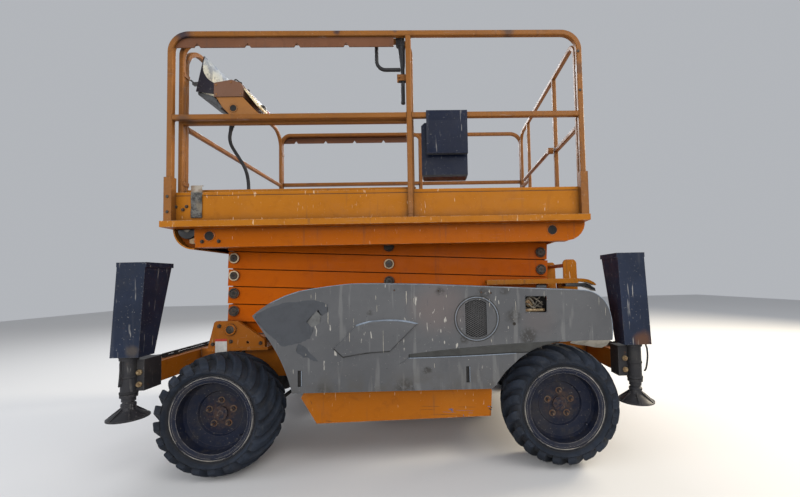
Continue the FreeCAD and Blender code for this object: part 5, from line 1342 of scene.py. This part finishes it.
            half = w * 0.5 * (math.sin(math.pi * (0.12 + 0.86 * t)) ** 0.6) * rr.uniform(0.5, 1.2)
            z = za + (zb - za) * t
            left.append(bm.verts.new((x - half, s * 0.8788, z)))
            right.append(bm.verts.new((x + half, s * 0.8788, z)))
        for i in range(n_ - 1):
            bm.faces.new((left[i], right[i], right[i + 1], left[i + 1]))
    for f in bm.faces:
        f.normal_update()
        if f.normal.y * s < 0:
            f.normal_flip()
    add_mesh("hood_scrapes_" + side, bm, "scrape", body, smooth=False)
    # crease that runs down from the band's front end
    bm = bmesh.new()
    pipe_into(bm, [(0.104, s * 0.8700, 0.630), (0.085, s * 0.8703, 0.612), (0.060, s * 0.8703, 0.600), (0.035, s * 0.8700, 0.594)], [0.0022, 0.0020, 0.0014, 0.0004], 8)
    add_mesh("hood_crease_" + side, bm, "hood", body)
    # raised ring of the grille
    bm = bmesh.new()
    turned_into(bm, [(0.1125, 0.0), (0.1215, 0.0), (0.1210, 0.0028), (0.1180, 0.0045), (0.1150, 0.0042), (0.1130, 0.0022)], (0.483, s * 0.8698, 0.833), (0, s, 0), 96, close=True)
    add_mesh("grille_ring_" + side, bm, "hood", body, split=50)
    # pale crest line on the ring: painted highlight
    bm = bmesh.new()
    turned_into(bm, [(0.1160, 0.0), (0.1183, 0.0), (0.1183, 0.0006), (0.1160, 0.0006)], (0.483, s * 0.8741, 0.833), (0, s, 0), 96, close=True)
    add_mesh("grille_ring_crest_" + side, bm, "hood_edge", body, split=50)
    # dark lines outside and inside the ring: painted shade
    bm = bmesh.new()
    turned_into(bm, [(0.1216, 0.0), (0.1262, 0.0), (0.1262, 0.0004), (0.1216, 0.0004)], (0.483, s * 0.8699, 0.833), (0, s, 0), 96, close=True)
    turned_into(bm, [(0.1092, 0.0), (0.1122, 0.0), (0.1122, 0.0004), (0.1092, 0.0004)], (0.483, s * 0.8699, 0.833), (0, s, 0), 96, close=True)
    add_mesh("grille_ring_shade_line_" + side, bm, "hood_shade", body, split=50)
    # latches in the two slots
    bm = bmesh.new()
    for x0, x1, z0, z1 in ((-0.495, -0.476, 0.488, 0.576), (0.418, 0.436, 0.487, 0.575)):
        brick(bm, (x0 - 0.008, min(s * 0.856, s * 0.861), z0 - 0.008), (x1 + 0.008, max(s * 0.856, s * 0.861), z1 + 0.008), 0.0)
    add_mesh("latch_dark_" + side, bm, "dark", body, smooth=False)
    # pale strips on the right edge of the slots: painted highlight
    bm = bmesh.new()
    for x0, x1, z0, z1 in ((-0.495, -0.476, 0.488, 0.576), (0.418, 0.436, 0.487, 0.575)):
        brick(bm, (x1 + 0.0006, min(s * 0.8700, s * 0.8722), z0 + 0.004), (x1 + 0.0036, max(s * 0.8700, s * 0.8712), z1 - 0.002), 0.0008)
    add_mesh("latch_strips_" + side, bm, "hood_edge", body, smooth=False)
    # screws in the small holes, washer in the large one
    bm = bmesh.new()
    for x, z, r in ((0.512, 0.976, 0.006), (0.564, 0.972, 0.006), (0.274, 0.990, 0.005), (0.033, 0.998, 0.005)):
        turned_into(bm, [(0.0, 0.0), (r - 0.0004, 0.0), (r - 0.0004, 0.0010), (r * 0.6, 0.0026), (0.0, 0.0028)], (x, s * 0.8665, z), (0, s, 0), 16)
    turned_into(bm, [(0.004, 0.0), (0.0096, 0.0), (0.0096, 0.0012), (0.004, 0.0012)], (0.689, s * 0.8655, 0.800), (0, s, 0), 24, close=True)
    add_mesh("hood_screws_" + side, bm, "darkbolt", body)
    # dark backs behind the holes and the grille: painted shade
    bm = bmesh.new()
    brick(bm, (0.678, min(s * 0.859, s * 0.8612), 0.789), (0.700, max(s * 0.859, s * 0.8612), 0.811), 0.0)
    brick(bm, (0.405, min(s * 0.838, s * 0.840), 0.715), (0.553, max(s * 0.838, s * 0.840), 0.950), 0.0)
    for x, z in ((0.538, 0.974), (0.274, 0.990), (0.033, 0.998)):
        brick(bm, (x - 0.036, min(s * 0.8595, s * 0.8612), z - 0.008), (x + 0.036, max(s * 0.8595, s * 0.8612), z + 0.008), 0.0)
    add_mesh("hood_hole_backs_" + side, bm, "dark", body, smooth=False)
    # rolled lip round the window
    bm = bmesh.new()
    WL = [(0.761, 0.862), (0.7545, 0.8645), (0.753, 0.870), (0.753, 0.940), (0.7555, 0.948), (0.763, 0.951), (0.865, 0.949), (0.8725, 0.9465), (0.875, 0.939), (0.873, 0.870), (0.8705, 0.861), (0.863, 0.858)]
    ring = [Vector((x, s * 0.8704, z)) for x, z in WL]
    pipe_into(bm, ring + [ring[0], ring[1]], 0.0014, 8, caps=False)
    add_mesh("window_lip_" + side, bm, "hood", body, split=60)
    # loom and valve seen through the window; the lamp there is not built
    # dark back behind the window: painted shade
    bm = bmesh.new()
    brick(bm, (0.735, min(s * 0.786, s * 0.790), 0.838), (0.895, max(s * 0.786, s * 0.790), 0.956), 0.0)
    add_mesh("window_back_" + side, bm, "dark", "chassis", smooth=False)
    bm = bmesh.new()
    for k, (pts, r) in enumerate((
            ([(0.760, 0.816, 0.918), (0.782, 0.834, 0.936), (0.800, 0.838, 0.922), (0.812, 0.834, 0.903), (0.832, 0.830, 0.892), (0.858, 0.822, 0.884)], 0.0055),
            ([(0.758, 0.812, 0.895), (0.776, 0.830, 0.905), (0.792, 0.836, 0.893), (0.812, 0.832, 0.882), (0.838, 0.824, 0.900), (0.862, 0.818, 0.914)], 0.0045),
            ([(0.770, 0.812, 0.940), (0.800, 0.826, 0.944), (0.825, 0.834, 0.930), (0.846, 0.834, 0.912), (0.860, 0.826, 0.896)], 0.0050),
            ([(0.764, 0.808, 0.880), (0.790, 0.822, 0.876), (0.820, 0.828, 0.900), (0.835, 0.826, 0.930), (0.852, 0.818, 0.942)], 0.0040))):
        pipe_into(bm, smooth_path([(x, s * y, z) for x, y, z in pts], 6), r, 9)
    add_mesh("window_loom_" + side, bm, "loom", "chassis", split=60)
    bm = bmesh.new()
    turned_into(bm, [(0.0, 0.0), (0.021, 0.0), (0.025, 0.014), (0.025, 0.020), (0.022, 0.023), (0.0, 0.025)], (0.790, s * 0.800, 0.912), (0, s, 0), 28)
    brick(bm, (0.757, min(s * 0.79, s * 0.84), 0.862), (0.870, max(s * 0.79, s * 0.84), 0.876), 0.002)
    add_mesh("window_valve_" + side, bm, "bronze", "chassis", split=40)

# ------------------------------------------------------- engine and radiator
def box_y(s, a, b):
    return (min(s * a, s * b), max(s * a, s * b))


def ybrick(bm, x0, x1, s, a, b, z0, z1, ch=0.0):
    y0, y1 = box_y(s, a, b)
    brick(bm, (x0, y0, z0), (x1, y1, z1), ch)


bm = bmesh.new()
s = -1
ybrick(bm, -0.205, 0.205, s, 0.575, 0.735, 0.560, 0.740, 0.010)
ybrick(bm, -0.195, 0.195, s, 0.585, 0.720, 0.740, 0.815, 0.008)
ybrick(bm, -0.185, 0.185, s, 0.600, 0.705, 0.470, 0.560, 0.012)
for i in range(9):
    ybrick(bm, -0.190 + 0.045 * i, -0.180 + 0.045 * i, s, 0.583, 0.7365, 0.570, 0.735, 0.002)
for i in range(3):
    turned_into(bm, [(0.0, 0.0), (0.020, 0.0), (0.020, 0.006), (0.012, 0.009), (0.0, 0.009)], (-0.12 + 0.12 * i, -0.652, 0.868), (0, 0, 1), 20)
turned_into(bm, [(0.0, 0.0), (0.085, 0.0), (0.092, 0.010), (0.092, 0.040), (0.080, 0.050), (0.0, 0.052)], (0.2055, -0.650, 0.640), (1, 0, 0), 40)
turned_into(bm, [(0.0, 0.0), (0.120, 0.0), (0.128, 0.012), (0.128, 0.060), (0.0, 0.060)], (-0.205, -0.650, 0.640), (-1, 0, 0), 40)
for k in range(8):
    t = 2 * math.pi * k / 8
    hexhead(bm, (-0.262, -0.650 + 0.112 * math.cos(t), 0.640 + 0.112 * math.sin(t)), (-1, 0, 0), 0.014, 0.008, 0.010)
engine = add_mesh("engine_body", bm, "iron", "chassis", split=35)
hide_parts("engine_block")
bm = bmesh.new()
ybrick(bm, -0.170, 0.170, s, 0.598, 0.706, 0.815, 0.872, 0.012)
turned_into(bm, [(0.0, 0.0), (0.050, 0.0), (0.060, 0.012), (0.060, 0.165), (0.050, 0.180), (0.0, 0.180)], (-0.10, -0.700, 0.845), (1, 0, 0), 36)
for xx in (-0.075, 0.055):
    turned_into(bm, [(0.0602, -0.006), (0.0625, -0.006), (0.0625, 0.006), (0.0602, 0.006)], (xx, -0.700, 0.845), (1, 0, 0), 36, close=True)
pipe_into(bm, smooth_path([(0.080, -0.700, 0.845), (0.130, -0.705, 0.850), (0.175, -0.715, 0.835), (0.195, -0.720, 0.790), (0.190, -0.715, 0.745)], 8), 0.024, 16)
add_mesh("engine_air_filter", bm, "cable", "chassis", split=40)
bm = bmesh.new()
turned_into(bm, [(0.0, 0.0), (0.038, 0.0), (0.042, 0.006), (0.042, 0.078), (0.030, 0.088), (0.0, 0.088)], (-0.060, -0.735, 0.640), (0, -1, 0.0), 28)
turned_into(bm, [(0.0, 0.0), (0.050, 0.0), (0.053, 0.004), (0.045, 0.012), (0.053, 0.020), (0.050, 0.024), (0.0, 0.024)], (0.262, -0.650, 0.640), (1, 0, 0), 32)
turned_into(bm, [(0.0, 0.0), (0.032, 0.0), (0.034, 0.004), (0.028, 0.010), (0.034, 0.016), (0.032, 0.020), (0.0, 0.020)], (0.262, -0.590, 0.790), (1, 0, 0), 28)
turned_into(bm, [(0.0, 0.0), (0.045, 0.0), (0.048, 0.010), (0.048, 0.085), (0.038, 0.095), (0.0, 0.095)], (0.160, -0.590, 0.790), (1, 0, 0), 28)
add_mesh("engine_filters", bm, "steel", "chassis", split=40)
bm = bmesh.new()
belt = []
for cx, cz, r, a0, a1 in ((-0.650, 0.640, 0.051, 100, 300), (-0.590, 0.790, 0.033, -50, 115)):
    for i in range(13):
        t = math.radians(a0 + (a1 - a0) * i / 12)
        belt.append(Vector((0.276, cx + r * math.cos(t), cz + r * math.sin(t))))
pipe_into(bm, belt + [belt[0], belt[1]], 0.0055, 8, caps=False)
for pts, r in (([(0.205, -0.60, 0.72), (0.27, -0.60, 0.74), (0.33, -0.61, 0.80), (0.352, -0.63, 0.84)], 0.017),
               ([(0.205, -0.70, 0.60), (0.26, -0.715, 0.585), (0.31, -0.715, 0.56), (0.352, -0.69, 0.54)], 0.019),
               ([(-0.20, -0.72, 0.72), (-0.26, -0.735, 0.75), (-0.30, -0.74, 0.70), (-0.31, -0.73, 0.60), (-0.30, -0.70, 0.50)], 0.010),
               ([(-0.10, -0.735, 0.58), (-0.13, -0.752, 0.52), (-0.20, -0.758, 0.49), (-0.28, -0.74, 0.475)], 0.008)):
    pipe_into(bm, smooth_path(pts, 8), r, 14)
add_mesh("engine_hoses", bm, "hose", "chassis", split=60)
bm = bmesh.new()
ybrick(bm, 0.352, 0.398, s, 0.550, 0.775, 0.480, 0.895, 0.004)
add_mesh("radiator_frame", bm, "frame", "chassis", split=30)
bm = bmesh.new()
for i in range(44):
    z = 0.505 + i * 0.0085
    ybrick(bm, 0.350, 0.3995, s, 0.562, 0.7765, z, z + 0.0028, 0.0)
add_mesh("radiator_fins", bm, "iron", "chassis", smooth=False)

# --------------------------------------------------------------- side tanks
s = 1
bm = bmesh.new()
ybrick(bm, -0.355, 0.020, s, 0.550, 0.775, 0.445, 0.842, 0.022)
turned_into(bm, [(0.0, 0.0), (0.034, 0.0), (0.036, 0.004), (0.036, 0.012), (0.030, 0.018), (0.0, 0.018)], (-0.25, 0.66, 0.842), (0, 0, 1), 30)
turned_into(bm, [(0.0, 0.0), (0.022, 0.0), (0.022, 0.012), (0.0, 0.016)], (-0.08, 0.62, 0.842), (0, 0, 1), 24)
tank = add_mesh("hydraulic_tank", bm, "tank", "chassis", split=35)
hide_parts("fluid_tanks")
bm = bmesh.new()
ybrick(bm, 0.060, 0.415, s, 0.555, 0.770, 0.450, 0.800, 0.030)
turned_into(bm, [(0.0, 0.0), (0.042, 0.0), (0.045, 0.008), (0.045, 0.030), (0.038, 0.038), (0.0, 0.038)], (0.28, 0.70, 0.800), (0, 0, 1), 30)
add_mesh("fuel_tank", bm, "cable", "chassis", split=35)
bm = bmesh.new()
for x0 in (0.120, 0.330):
    for part in (((x0, 0.7705, 0.448), (x0 + 0.026, 0.7735, 0.802)), ((x0, 0.552, 0.8005), (x0 + 0.026, 0.7735, 0.8030))):
        brick(bm, part[0], part[1], 0.0006)
    hexhead(bm, (x0 + 0.013, 0.7735, 0.62), (0, 1, 0), 0.014, 0.008, 0.010)
for x, z in ((-0.33, 0.47), (-0.005, 0.47), (-0.33, 0.815), (-0.005, 0.815)):
    hexhead(bm, (x, 0.775, z), (0, 1, 0), 0.013, 0.007, 0.009)
turned_into(bm, [(0.0, 0.0), (0.020, 0.0), (0.020, 0.004), (0.015, 0.007), (0.0, 0.007)], (-0.18, 0.775, 0.63), (0, 1, 0), 24)
add_mesh("tank_straps", bm, "steel", "chassis", split=35)
bm = bmesh.new()
for pts, r in (([(-0.10, 0.60, 0.856), (-0.10, 0.60, 0.885), (-0.06, 0.595, 0.905), (0.02, 0.59, 0.900), (0.10, 0.585, 0.86), (0.16, 0.57, 0.815)], 0.009),
               ([(-0.20, 0.775, 0.52), (-0.20, 0.785, 0.505), (-0.17, 0.787, 0.485), (-0.05, 0.787, 0.470), (0.20, 0.786, 0.462), (0.43, 0.775, 0.47)], 0.008),
               ([(-0.30, 0.62, 0.845), (-0.30, 0.62, 0.875), (-0.33, 0.61, 0.890), (-0.38, 0.60, 0.870), (-0.42, 0.58, 0.80)], 0.008)):
    pipe_into(bm, smooth_path(pts, 8), r, 12)
add_mesh("tank_hoses", bm, "hose", "chassis", split=60)

# --------------------------------------------------------------- outriggers
LEG_AT = (("front_left", -1.420, -0.830), ("front_right", -1.420, 0.830), ("rear_left", 1.388, -0.800), ("rear_right", 1.388, 0.800))
for name, lx, ly in LEG_AT:
    s = -1 if ly < 0 else 1
    front = lx < 0
    # gaiter, swivel and triangular ribs over the pad
    bm = bmesh.new()
    turned_into(bm, [(0.0305, 0.402), (0.0345, 0.404), (0.0345, 0.416), (0.0300, 0.420), (0.0262, 0.424), (0.0262, 0.402)], (lx, ly, 0), (0, 0, 1), 28, close=True)
    for k in range(6):
        a = math.radians(60 * k + 12)
        c, sn = math.cos(a), math.sin(a)
        p = [(0.0925, 0.3464), (0.0925, 0.3500), (0.0345, 0.3975), (0.0330, 0.3975), (0.0330, 0.3860), (0.0860, 0.3468)]
        va = [bm.verts.new((lx + r * c - 0.0032 * sn, ly + r * sn + 0.0032 * c, z)) for r, z in p]
        vb = [bm.verts.new((lx + r * c + 0.0032 * sn, ly + r * sn - 0.0032 * c, z)) for r, z in p]
        bm.faces.new(va)
        bm.faces.new(list(reversed(vb)))
        for i in range(6):
            bm.faces.new((va[i], vb[i], vb[(i + 1) % 6], va[(i + 1) % 6]))
    turned_into(bm, [(0.0885, 0.3402), (0.0949, 0.3402), (0.0949, 0.3468), (0.0925, 0.3482), (0.0885, 0.3478)], (lx, ly, 0), (0, 0, 1), 48, close=True)
    bmesh.ops.recalc_face_normals(bm, faces=bm.faces)
    add_mesh("pad_ribs_" + name, bm, "leg", "leg_" + name, split=35)
    # clamp bolts, collar ribs and hydraulic line on the tube
    bm = bmesh.new()
    xs = (-1.3925,) if front else (1.352,)
    for bx in (lx + (0.052 if front else -0.052),):
        for bz in (0.515, 0.580):
            turned_into(bm, [(0.0, 0.0), (0.0155, 0.0), (0.0155, 0.006), (0.0125, 0.010), (0.0, 0.010)], (bx, ly + s * 0.0055 * -1, bz), (0, s, 0), 24)
            hexhead(bm, (bx, ly - s * 0.0055 + s * 0.010, bz), (0, s, 0), 0.015, 0.008, 0.0)
    add_mesh("leg_bolts_" + name, bm, "bronze", "chassis", smooth=False)
    bm = bmesh.new()
    for z, r in ((0.667, 0.0448), (0.475, 0.0408), (0.560, 0.0392)):
        turned_into(bm, [(0.0372, -0.007), (r, -0.006), (r + 0.0012, 0.0), (r, 0.006), (0.0372, 0.007)], (lx, ly, z), (0, 0, 1), 40, close=True)
    x0 = lx + (0.048 if not front else -0.010)
    pts = [(x0, ly + s * 0.038, 0.662), (x0 + 0.002, ly + s * 0.046, 0.640), (x0 + 0.003, ly + s * 0.047, 0.600), (x0 - 0.001, ly + s * 0.045, 0.560), (x0 - 0.006, ly + s * 0.042, 0.530), (x0 - 0.012, ly + s * 0.036, 0.515)]
    pipe_into(bm, smooth_path(pts, 6), 0.0048, 10)
    pts = [(lx, ly - s * 0.040, 0.630), (lx + 0.004, ly - s * 0.070, 0.640), (lx - 0.006, ly - s * 0.115, 0.645), (lx + 0.010, ly - s * 0.180, 0.634), (lx + 0.014, ly - s * 0.260, 0.6265)]
    pipe_into(bm, smooth_path(pts, 6), 0.0075, 10)
    add_mesh("leg_lines_" + name, bm, "hose", "chassis", split=60)

# ----------------------------------------------------- cross beams and lines
bm = bmesh.new()
for x0, xo in ((-1.440, -1), (1.400, 1)):
    for z, r in ((0.6225, 0.0065), (0.6365, 0.0065)):
        pts = [(x0 - xo * 0.045, -0.62, z), (x0 - xo * 0.044, -0.45, z), (x0 - xo * 0.046, -0.2, z + 0.001), (x0 - xo * 0.044, 0.1, z), (x0 - xo * 0.045, 0.4, z + 0.001), (x0 - xo * 0.045, 0.62, z)]
        pipe_into(bm, smooth_path(pts, 6), r, 10)
for pts, r in (([(-1.30, 0.20, 0.640), (-1.26, 0.20, 0.655), (-1.10, 0.205, 0.662), (-0.80, 0.20, 0.650), (-0.50, 0.20, 0.652), (-0.20, 0.205, 0.652), (0.30, 0.20, 0.655)], 0.010),
               ([(-1.30, 0.17, 0.640), (-1.26, 0.17, 0.655), (-1.05, 0.165, 0.660), (-0.80, 0.17, 0.650), (-0.40, 0.17, 0.652), (0.30, 0.168, 0.655)], 0.008),
               ([(-1.20, -0.22, 0.640), (-1.16, -0.22, 0.656), (-0.90, -0.215, 0.656), (-0.40, -0.22, 0.652), (0.30, -0.22, 0.652), (0.90, -0.215, 0.655)], 0.009)):
    pipe_into(bm, smooth_path(pts, 6), r, 12)
add_mesh("frame_hoses", bm, "hose", "chassis", split=60)
bm = bmesh.new()
for x0, xo in ((-1.440, -1), (1.400, 1)):
    for y in (-0.50, -0.20, 0.15, 0.45):
        brick(bm, (min(x0 - xo * 0.030, x0 - xo * 0.060), y - 0.010, 0.6152), (max(x0 - xo * 0.030, x0 - xo * 0.060), y + 0.010, 0.6300), 0.002)
    for y in (-0.66, -0.56, 0.56, 0.66):
        for z in (0.53, 0.585):
            hexhead(bm, (x0, y, z), (xo, 0, 0), 0.018, 0.010, 0.013, 0.2)
    for y in (-0.34, -0.30, 0.30, 0.34):
        for z in (0.535, 0.580):
            hexhead(bm, (x0, y, z), (xo, 0, 0), 0.015, 0.008, 0.011, 0.5)
for x in (-1.1, -0.6, -0.1, 0.4):
    for s in (-1, 1):
        hexhead(bm, (x, s * 0.3402, 0.590), (0, s, 0), 0.016, 0.009, 0.012, 0.2)
        hexhead(bm, (x + 0.04, s * 0.3402, 0.590), (0, s, 0), 0.016, 0.009, 0.012, 0.4)
for s in (-1, 1):
    for bx, bz in ((-1.190, 0.665), (-0.885, 0.665), (-1.150, 0.780), (-1.075, 0.680)):
        hexhead(bm, (bx, s * 0.4672, bz), (0, s, 0), 0.016, 0.009, 0.012, 0.3)
add_mesh("frame_bolts", bm, "darkbolt", "chassis", smooth=False)

# ----------------------------------------------------- bracket ring and plate
for side, s in (("left", -1), ("right", 1)):
    bm = bmesh.new()
    turned_into(bm, [(0.0262, 0.0), (0.0362, 0.0), (0.0362, 0.0030), (0.0340, 0.0052), (0.0290, 0.0052), (0.0262, 0.0034)], (-1.076, s * 0.4760, 0.757), (0, s, 0), 40, close=True)
    add_mesh("bracket_ring_" + side, bm, "frame", "chassis", split=50)
    bm = bmesh.new()
    turned_into(bm, [(0.0, 0.0), (0.0255, 0.0), (0.0255, 0.002), (0.022, 0.004), (0.0, 0.004)], (-1.076, s * 0.4760, 0.757), (0, s, 0), 32)
    turned_into(bm, NIPPLE, (-1.076, s * 0.4795, 0.757), (0, s, 0), 10)
    add_mesh("bracket_pin_" + side, bm, "darkbolt", "chassis", split=50)
    bm = bmesh.new()
    slab(bm, [(-1.176, 0.606), (-1.101, 0.606), (-1.101, 0.682), (-1.176, 0.682)], *box_y(s, 0.4671, 0.4677))
    add_mesh("bracket_label_" + side, bm, "label", "chassis", smooth=False)
    bm = bmesh.new()
    slab(bm, [(-1.176, 0.682), (-1.101, 0.682), (-1.101, 0.698), (-1.176, 0.698)], *box_y(s, 0.4671, 0.4678))
    add_mesh("bracket_label_band_" + side, bm, "label_red", "chassis", smooth=False)

# --------------------------------------------------------- axles and steering
bm = bmesh.new()
turned_into(bm, [(0.0, -0.105), (0.060, -0.100), (0.098, -0.070), (0.112, -0.020), (0.112, 0.020), (0.098, 0.070), (0.060, 0.100), (0.0, 0.105)], (-0.956, 0.06, 0.3315), (0, 1, 0), 36)
turned_into(bm, [(0.0, -0.105), (0.060, -0.100), (0.098, -0.070), (0.112, -0.020), (0.112, 0.020), (0.098, 0.070), (0.060, 0.100), (0.0, 0.105)], (0.956, 0.06, 0.3315), (0, 1, 0), 36)
for sx in (-1, 1):
    for k in range(10):
        t = 2 * math.pi * k / 10
        hexhead(bm, (sx * 0.956 + 0.088 * math.cos(t), 0.132, 0.3315 + 0.088 * math.sin(t)), (0, 1, 0), 0.013, 0.008, 0.0)
    turned_into(bm, [(0.0, 0.0), (0.045, 0.0), (0.045, 0.070), (0.034, 0.085), (0.034, 0.110), (0.0, 0.112)], (sx * (0.956 - 0.100), 0.06, 0.3315), (-sx, 0, 0), 28)
    for y in (-0.27, 0.27):
        for ex in (-0.062, 0.062):
            hexhead(bm, (sx * 0.956 + ex, y, 0.4195), (0, 0, -1), 0.017, 0.010, 0.012)
add_mesh("axle_centres", bm, "axle", "chassis", split=35)
bm = bmesh.new()
pipe_into(bm, [(-0.745, 0.06, 0.3315), (-0.30, 0.07, 0.365), (0.20, 0.07, 0.365), (0.745, 0.06, 0.3315)], 0.027, 20)
turned_into(bm, [(0.0, -0.05), (0.045, -0.05), (0.05, -0.03), (0.05, 0.03), (0.045, 0.05), (0.0, 0.05)], (-0.05, 0.07, 0.365), (1, 0, 0), 28)
add_mesh("drive_shaft", bm, "axle", "chassis", split=40)
bm = bmesh.new()
for s in (-1, 1):
    pts = [(0.956, s * 0.30, 0.395), (0.93, s * 0.36, 0.405), (0.94, s * 0.45, 0.395), (0.95, s * 0.56, 0.385), (0.955, s * 0.60, 0.395)]
    pipe_into(bm, smooth_path(pts, 6), 0.0065, 10)
    pts = [(-1.0, s * 0.34, 0.46), (-1.05, s * 0.38, 0.43), (-1.03, s * 0.46, 0.415), (-0.99, s * 0.55, 0.42), (-0.97, s * 0.598, 0.452)]
    pipe_into(bm, smooth_path(pts, 6), 0.0065, 10)
add_mesh("axle_hoses", bm, "hose", "chassis", split=60)
for side, s in (("left", -1), ("right", 1)):
    bm = bmesh.new()
    for k in range(6):
        t = 2 * math.pi * (k + 0.5) / 6
        hexhead(bm, (-0.956 + 0.056 * math.cos(t), s * 0.679, 0.3315 + 0.056 * math.sin(t)), (0, -s, 0), 0.012, 0.007, 0.0)
    turned_into(bm, [(0.0, 0.0), (0.030, 0.0), (0.030, 0.004), (0.024, 0.010), (0.0, 0.012)], (-0.956, s * 0.680, 0.4515), (0, 0, 1), 28)
    add_mesh("kingpin_cap_" + side, bm, "darkbolt", "chassis", split=35)


# end plates that close the side of the two curved sheets
for s, side in ((-1, "left"), (1, "right")):
    for name, y0, y1, outline in (
            ("rear", 0.6885, 0.6956, [(1.069, 1.3838), (1.176, 1.3838), (1.175, 1.3660), (1.168, 1.3420), (1.154, 1.3180),
                                      (1.133, 1.2970), (1.105, 1.2810), (1.069, 1.2735)]),
            ("front", 0.6400, 0.6480, [(-1.166, 1.3838), (-1.300, 1.3838), (-1.298, 1.3600), (-1.288, 1.3330), (-1.268, 1.3060),
                                       (-1.240, 1.2840), (-1.205, 1.2680), (-1.166, 1.2605)])):
        bm = bmesh.new()
        slab(bm, outline, s * y0, s * y1, 0.0)
        add_mesh("beam_end_plate_%s_%s" % (name, side), bm, "beam", "platform", smooth=False)

# ------------------------------------------------------------ floor, lights
bm = bmesh.new()
fl = [bm.verts.new(p) for p in ((-14, -9, 0), (14, -9, 0), (14, 16, 0), (-14, 16, 0))]
bm.faces.new(fl)
me = bpy.data.meshes.new("floor")
bm.to_mesh(me)
bm.free()
floor = bpy.data.objects.new("floor", me)
SC.collection.objects.link(floor)
n = NB("floor_pale")
n.set(Base_Color=(0.60, 0.60, 0.605), Roughness=0.85, Specular_IOR_Level=0.2)
me.materials.append(n.m)

w = bpy.data.worlds.new("studio")
SC.world = w
w.use_nodes = True
bg = w.node_tree.nodes["Background"]
bg.inputs[0].default_value = (0.80, 0.83, 0.88, 1)
bg.inputs[1].default_value = 0.56


def area(name, at, to, size, power, colour=(1, 1, 1)):
    li = bpy.data.lights.new(name, "AREA")
    li.shape = "RECTANGLE"
    li.size, li.size_y = size
    li.energy = power
    li.color = colour
    o = bpy.data.objects.new(name, li)
    o.location = at
    o.rotation_euler = (Vector(to) - Vector(at)).to_track_quat("-Z", "Y").to_euler()
    SC.collection.objects.link(o)


area("key", (3.2, -5.0, 6.0), (0, 0, 1.1), (4.5, 4.5), 240, (1.0, 0.97, 0.93))
area("fill", (-6.0, -3.5, 3.4), (0, 0, 1.0), (4, 4), 130, (0.92, 0.96, 1.0))
area("sun_side", (7.5, 1.5, 4.5), (0, 0, 1.6), (2.0, 2.0), 760, (1.0, 0.88, 0.68))
area("front", (0.4, -7.0, 2.2), (0, 0, 1.2), (6, 2.5), 210, (1.0, 0.985, 0.96))
area("back", (-1.5, 6.0, 5.5), (0, 0, 1.4), (5, 3), 420, (0.96, 0.98, 1.0))

cam = bpy.data.cameras.new("photo_view")
cam.sensor_width = 36
cam.lens = 36 * 362.84 / 800
cam.shift_x = -(445.26 - 400) / 800
cam.shift_y = (264.58 - 248.5) / 800
cam.clip_start = 0.05
co = bpy.data.objects.new("photo_view", cam)
right = Vector((0.999493, -0.023663, -0.021290))
up = Vector((0.020264, -0.042804, 0.998878))
fwd = Vector((0.024547, 0.998803, 0.042303))
M = Matrix((right, up, -fwd)).transposed().to_4x4()
M.translation = Vector((0.26668, -2.87249, 1.04905))
co.matrix_world = M
SC.collection.objects.link(co)
SC.camera = co
SC.view_settings.view_transform = "Standard"

bpy.context.view_layer.update()
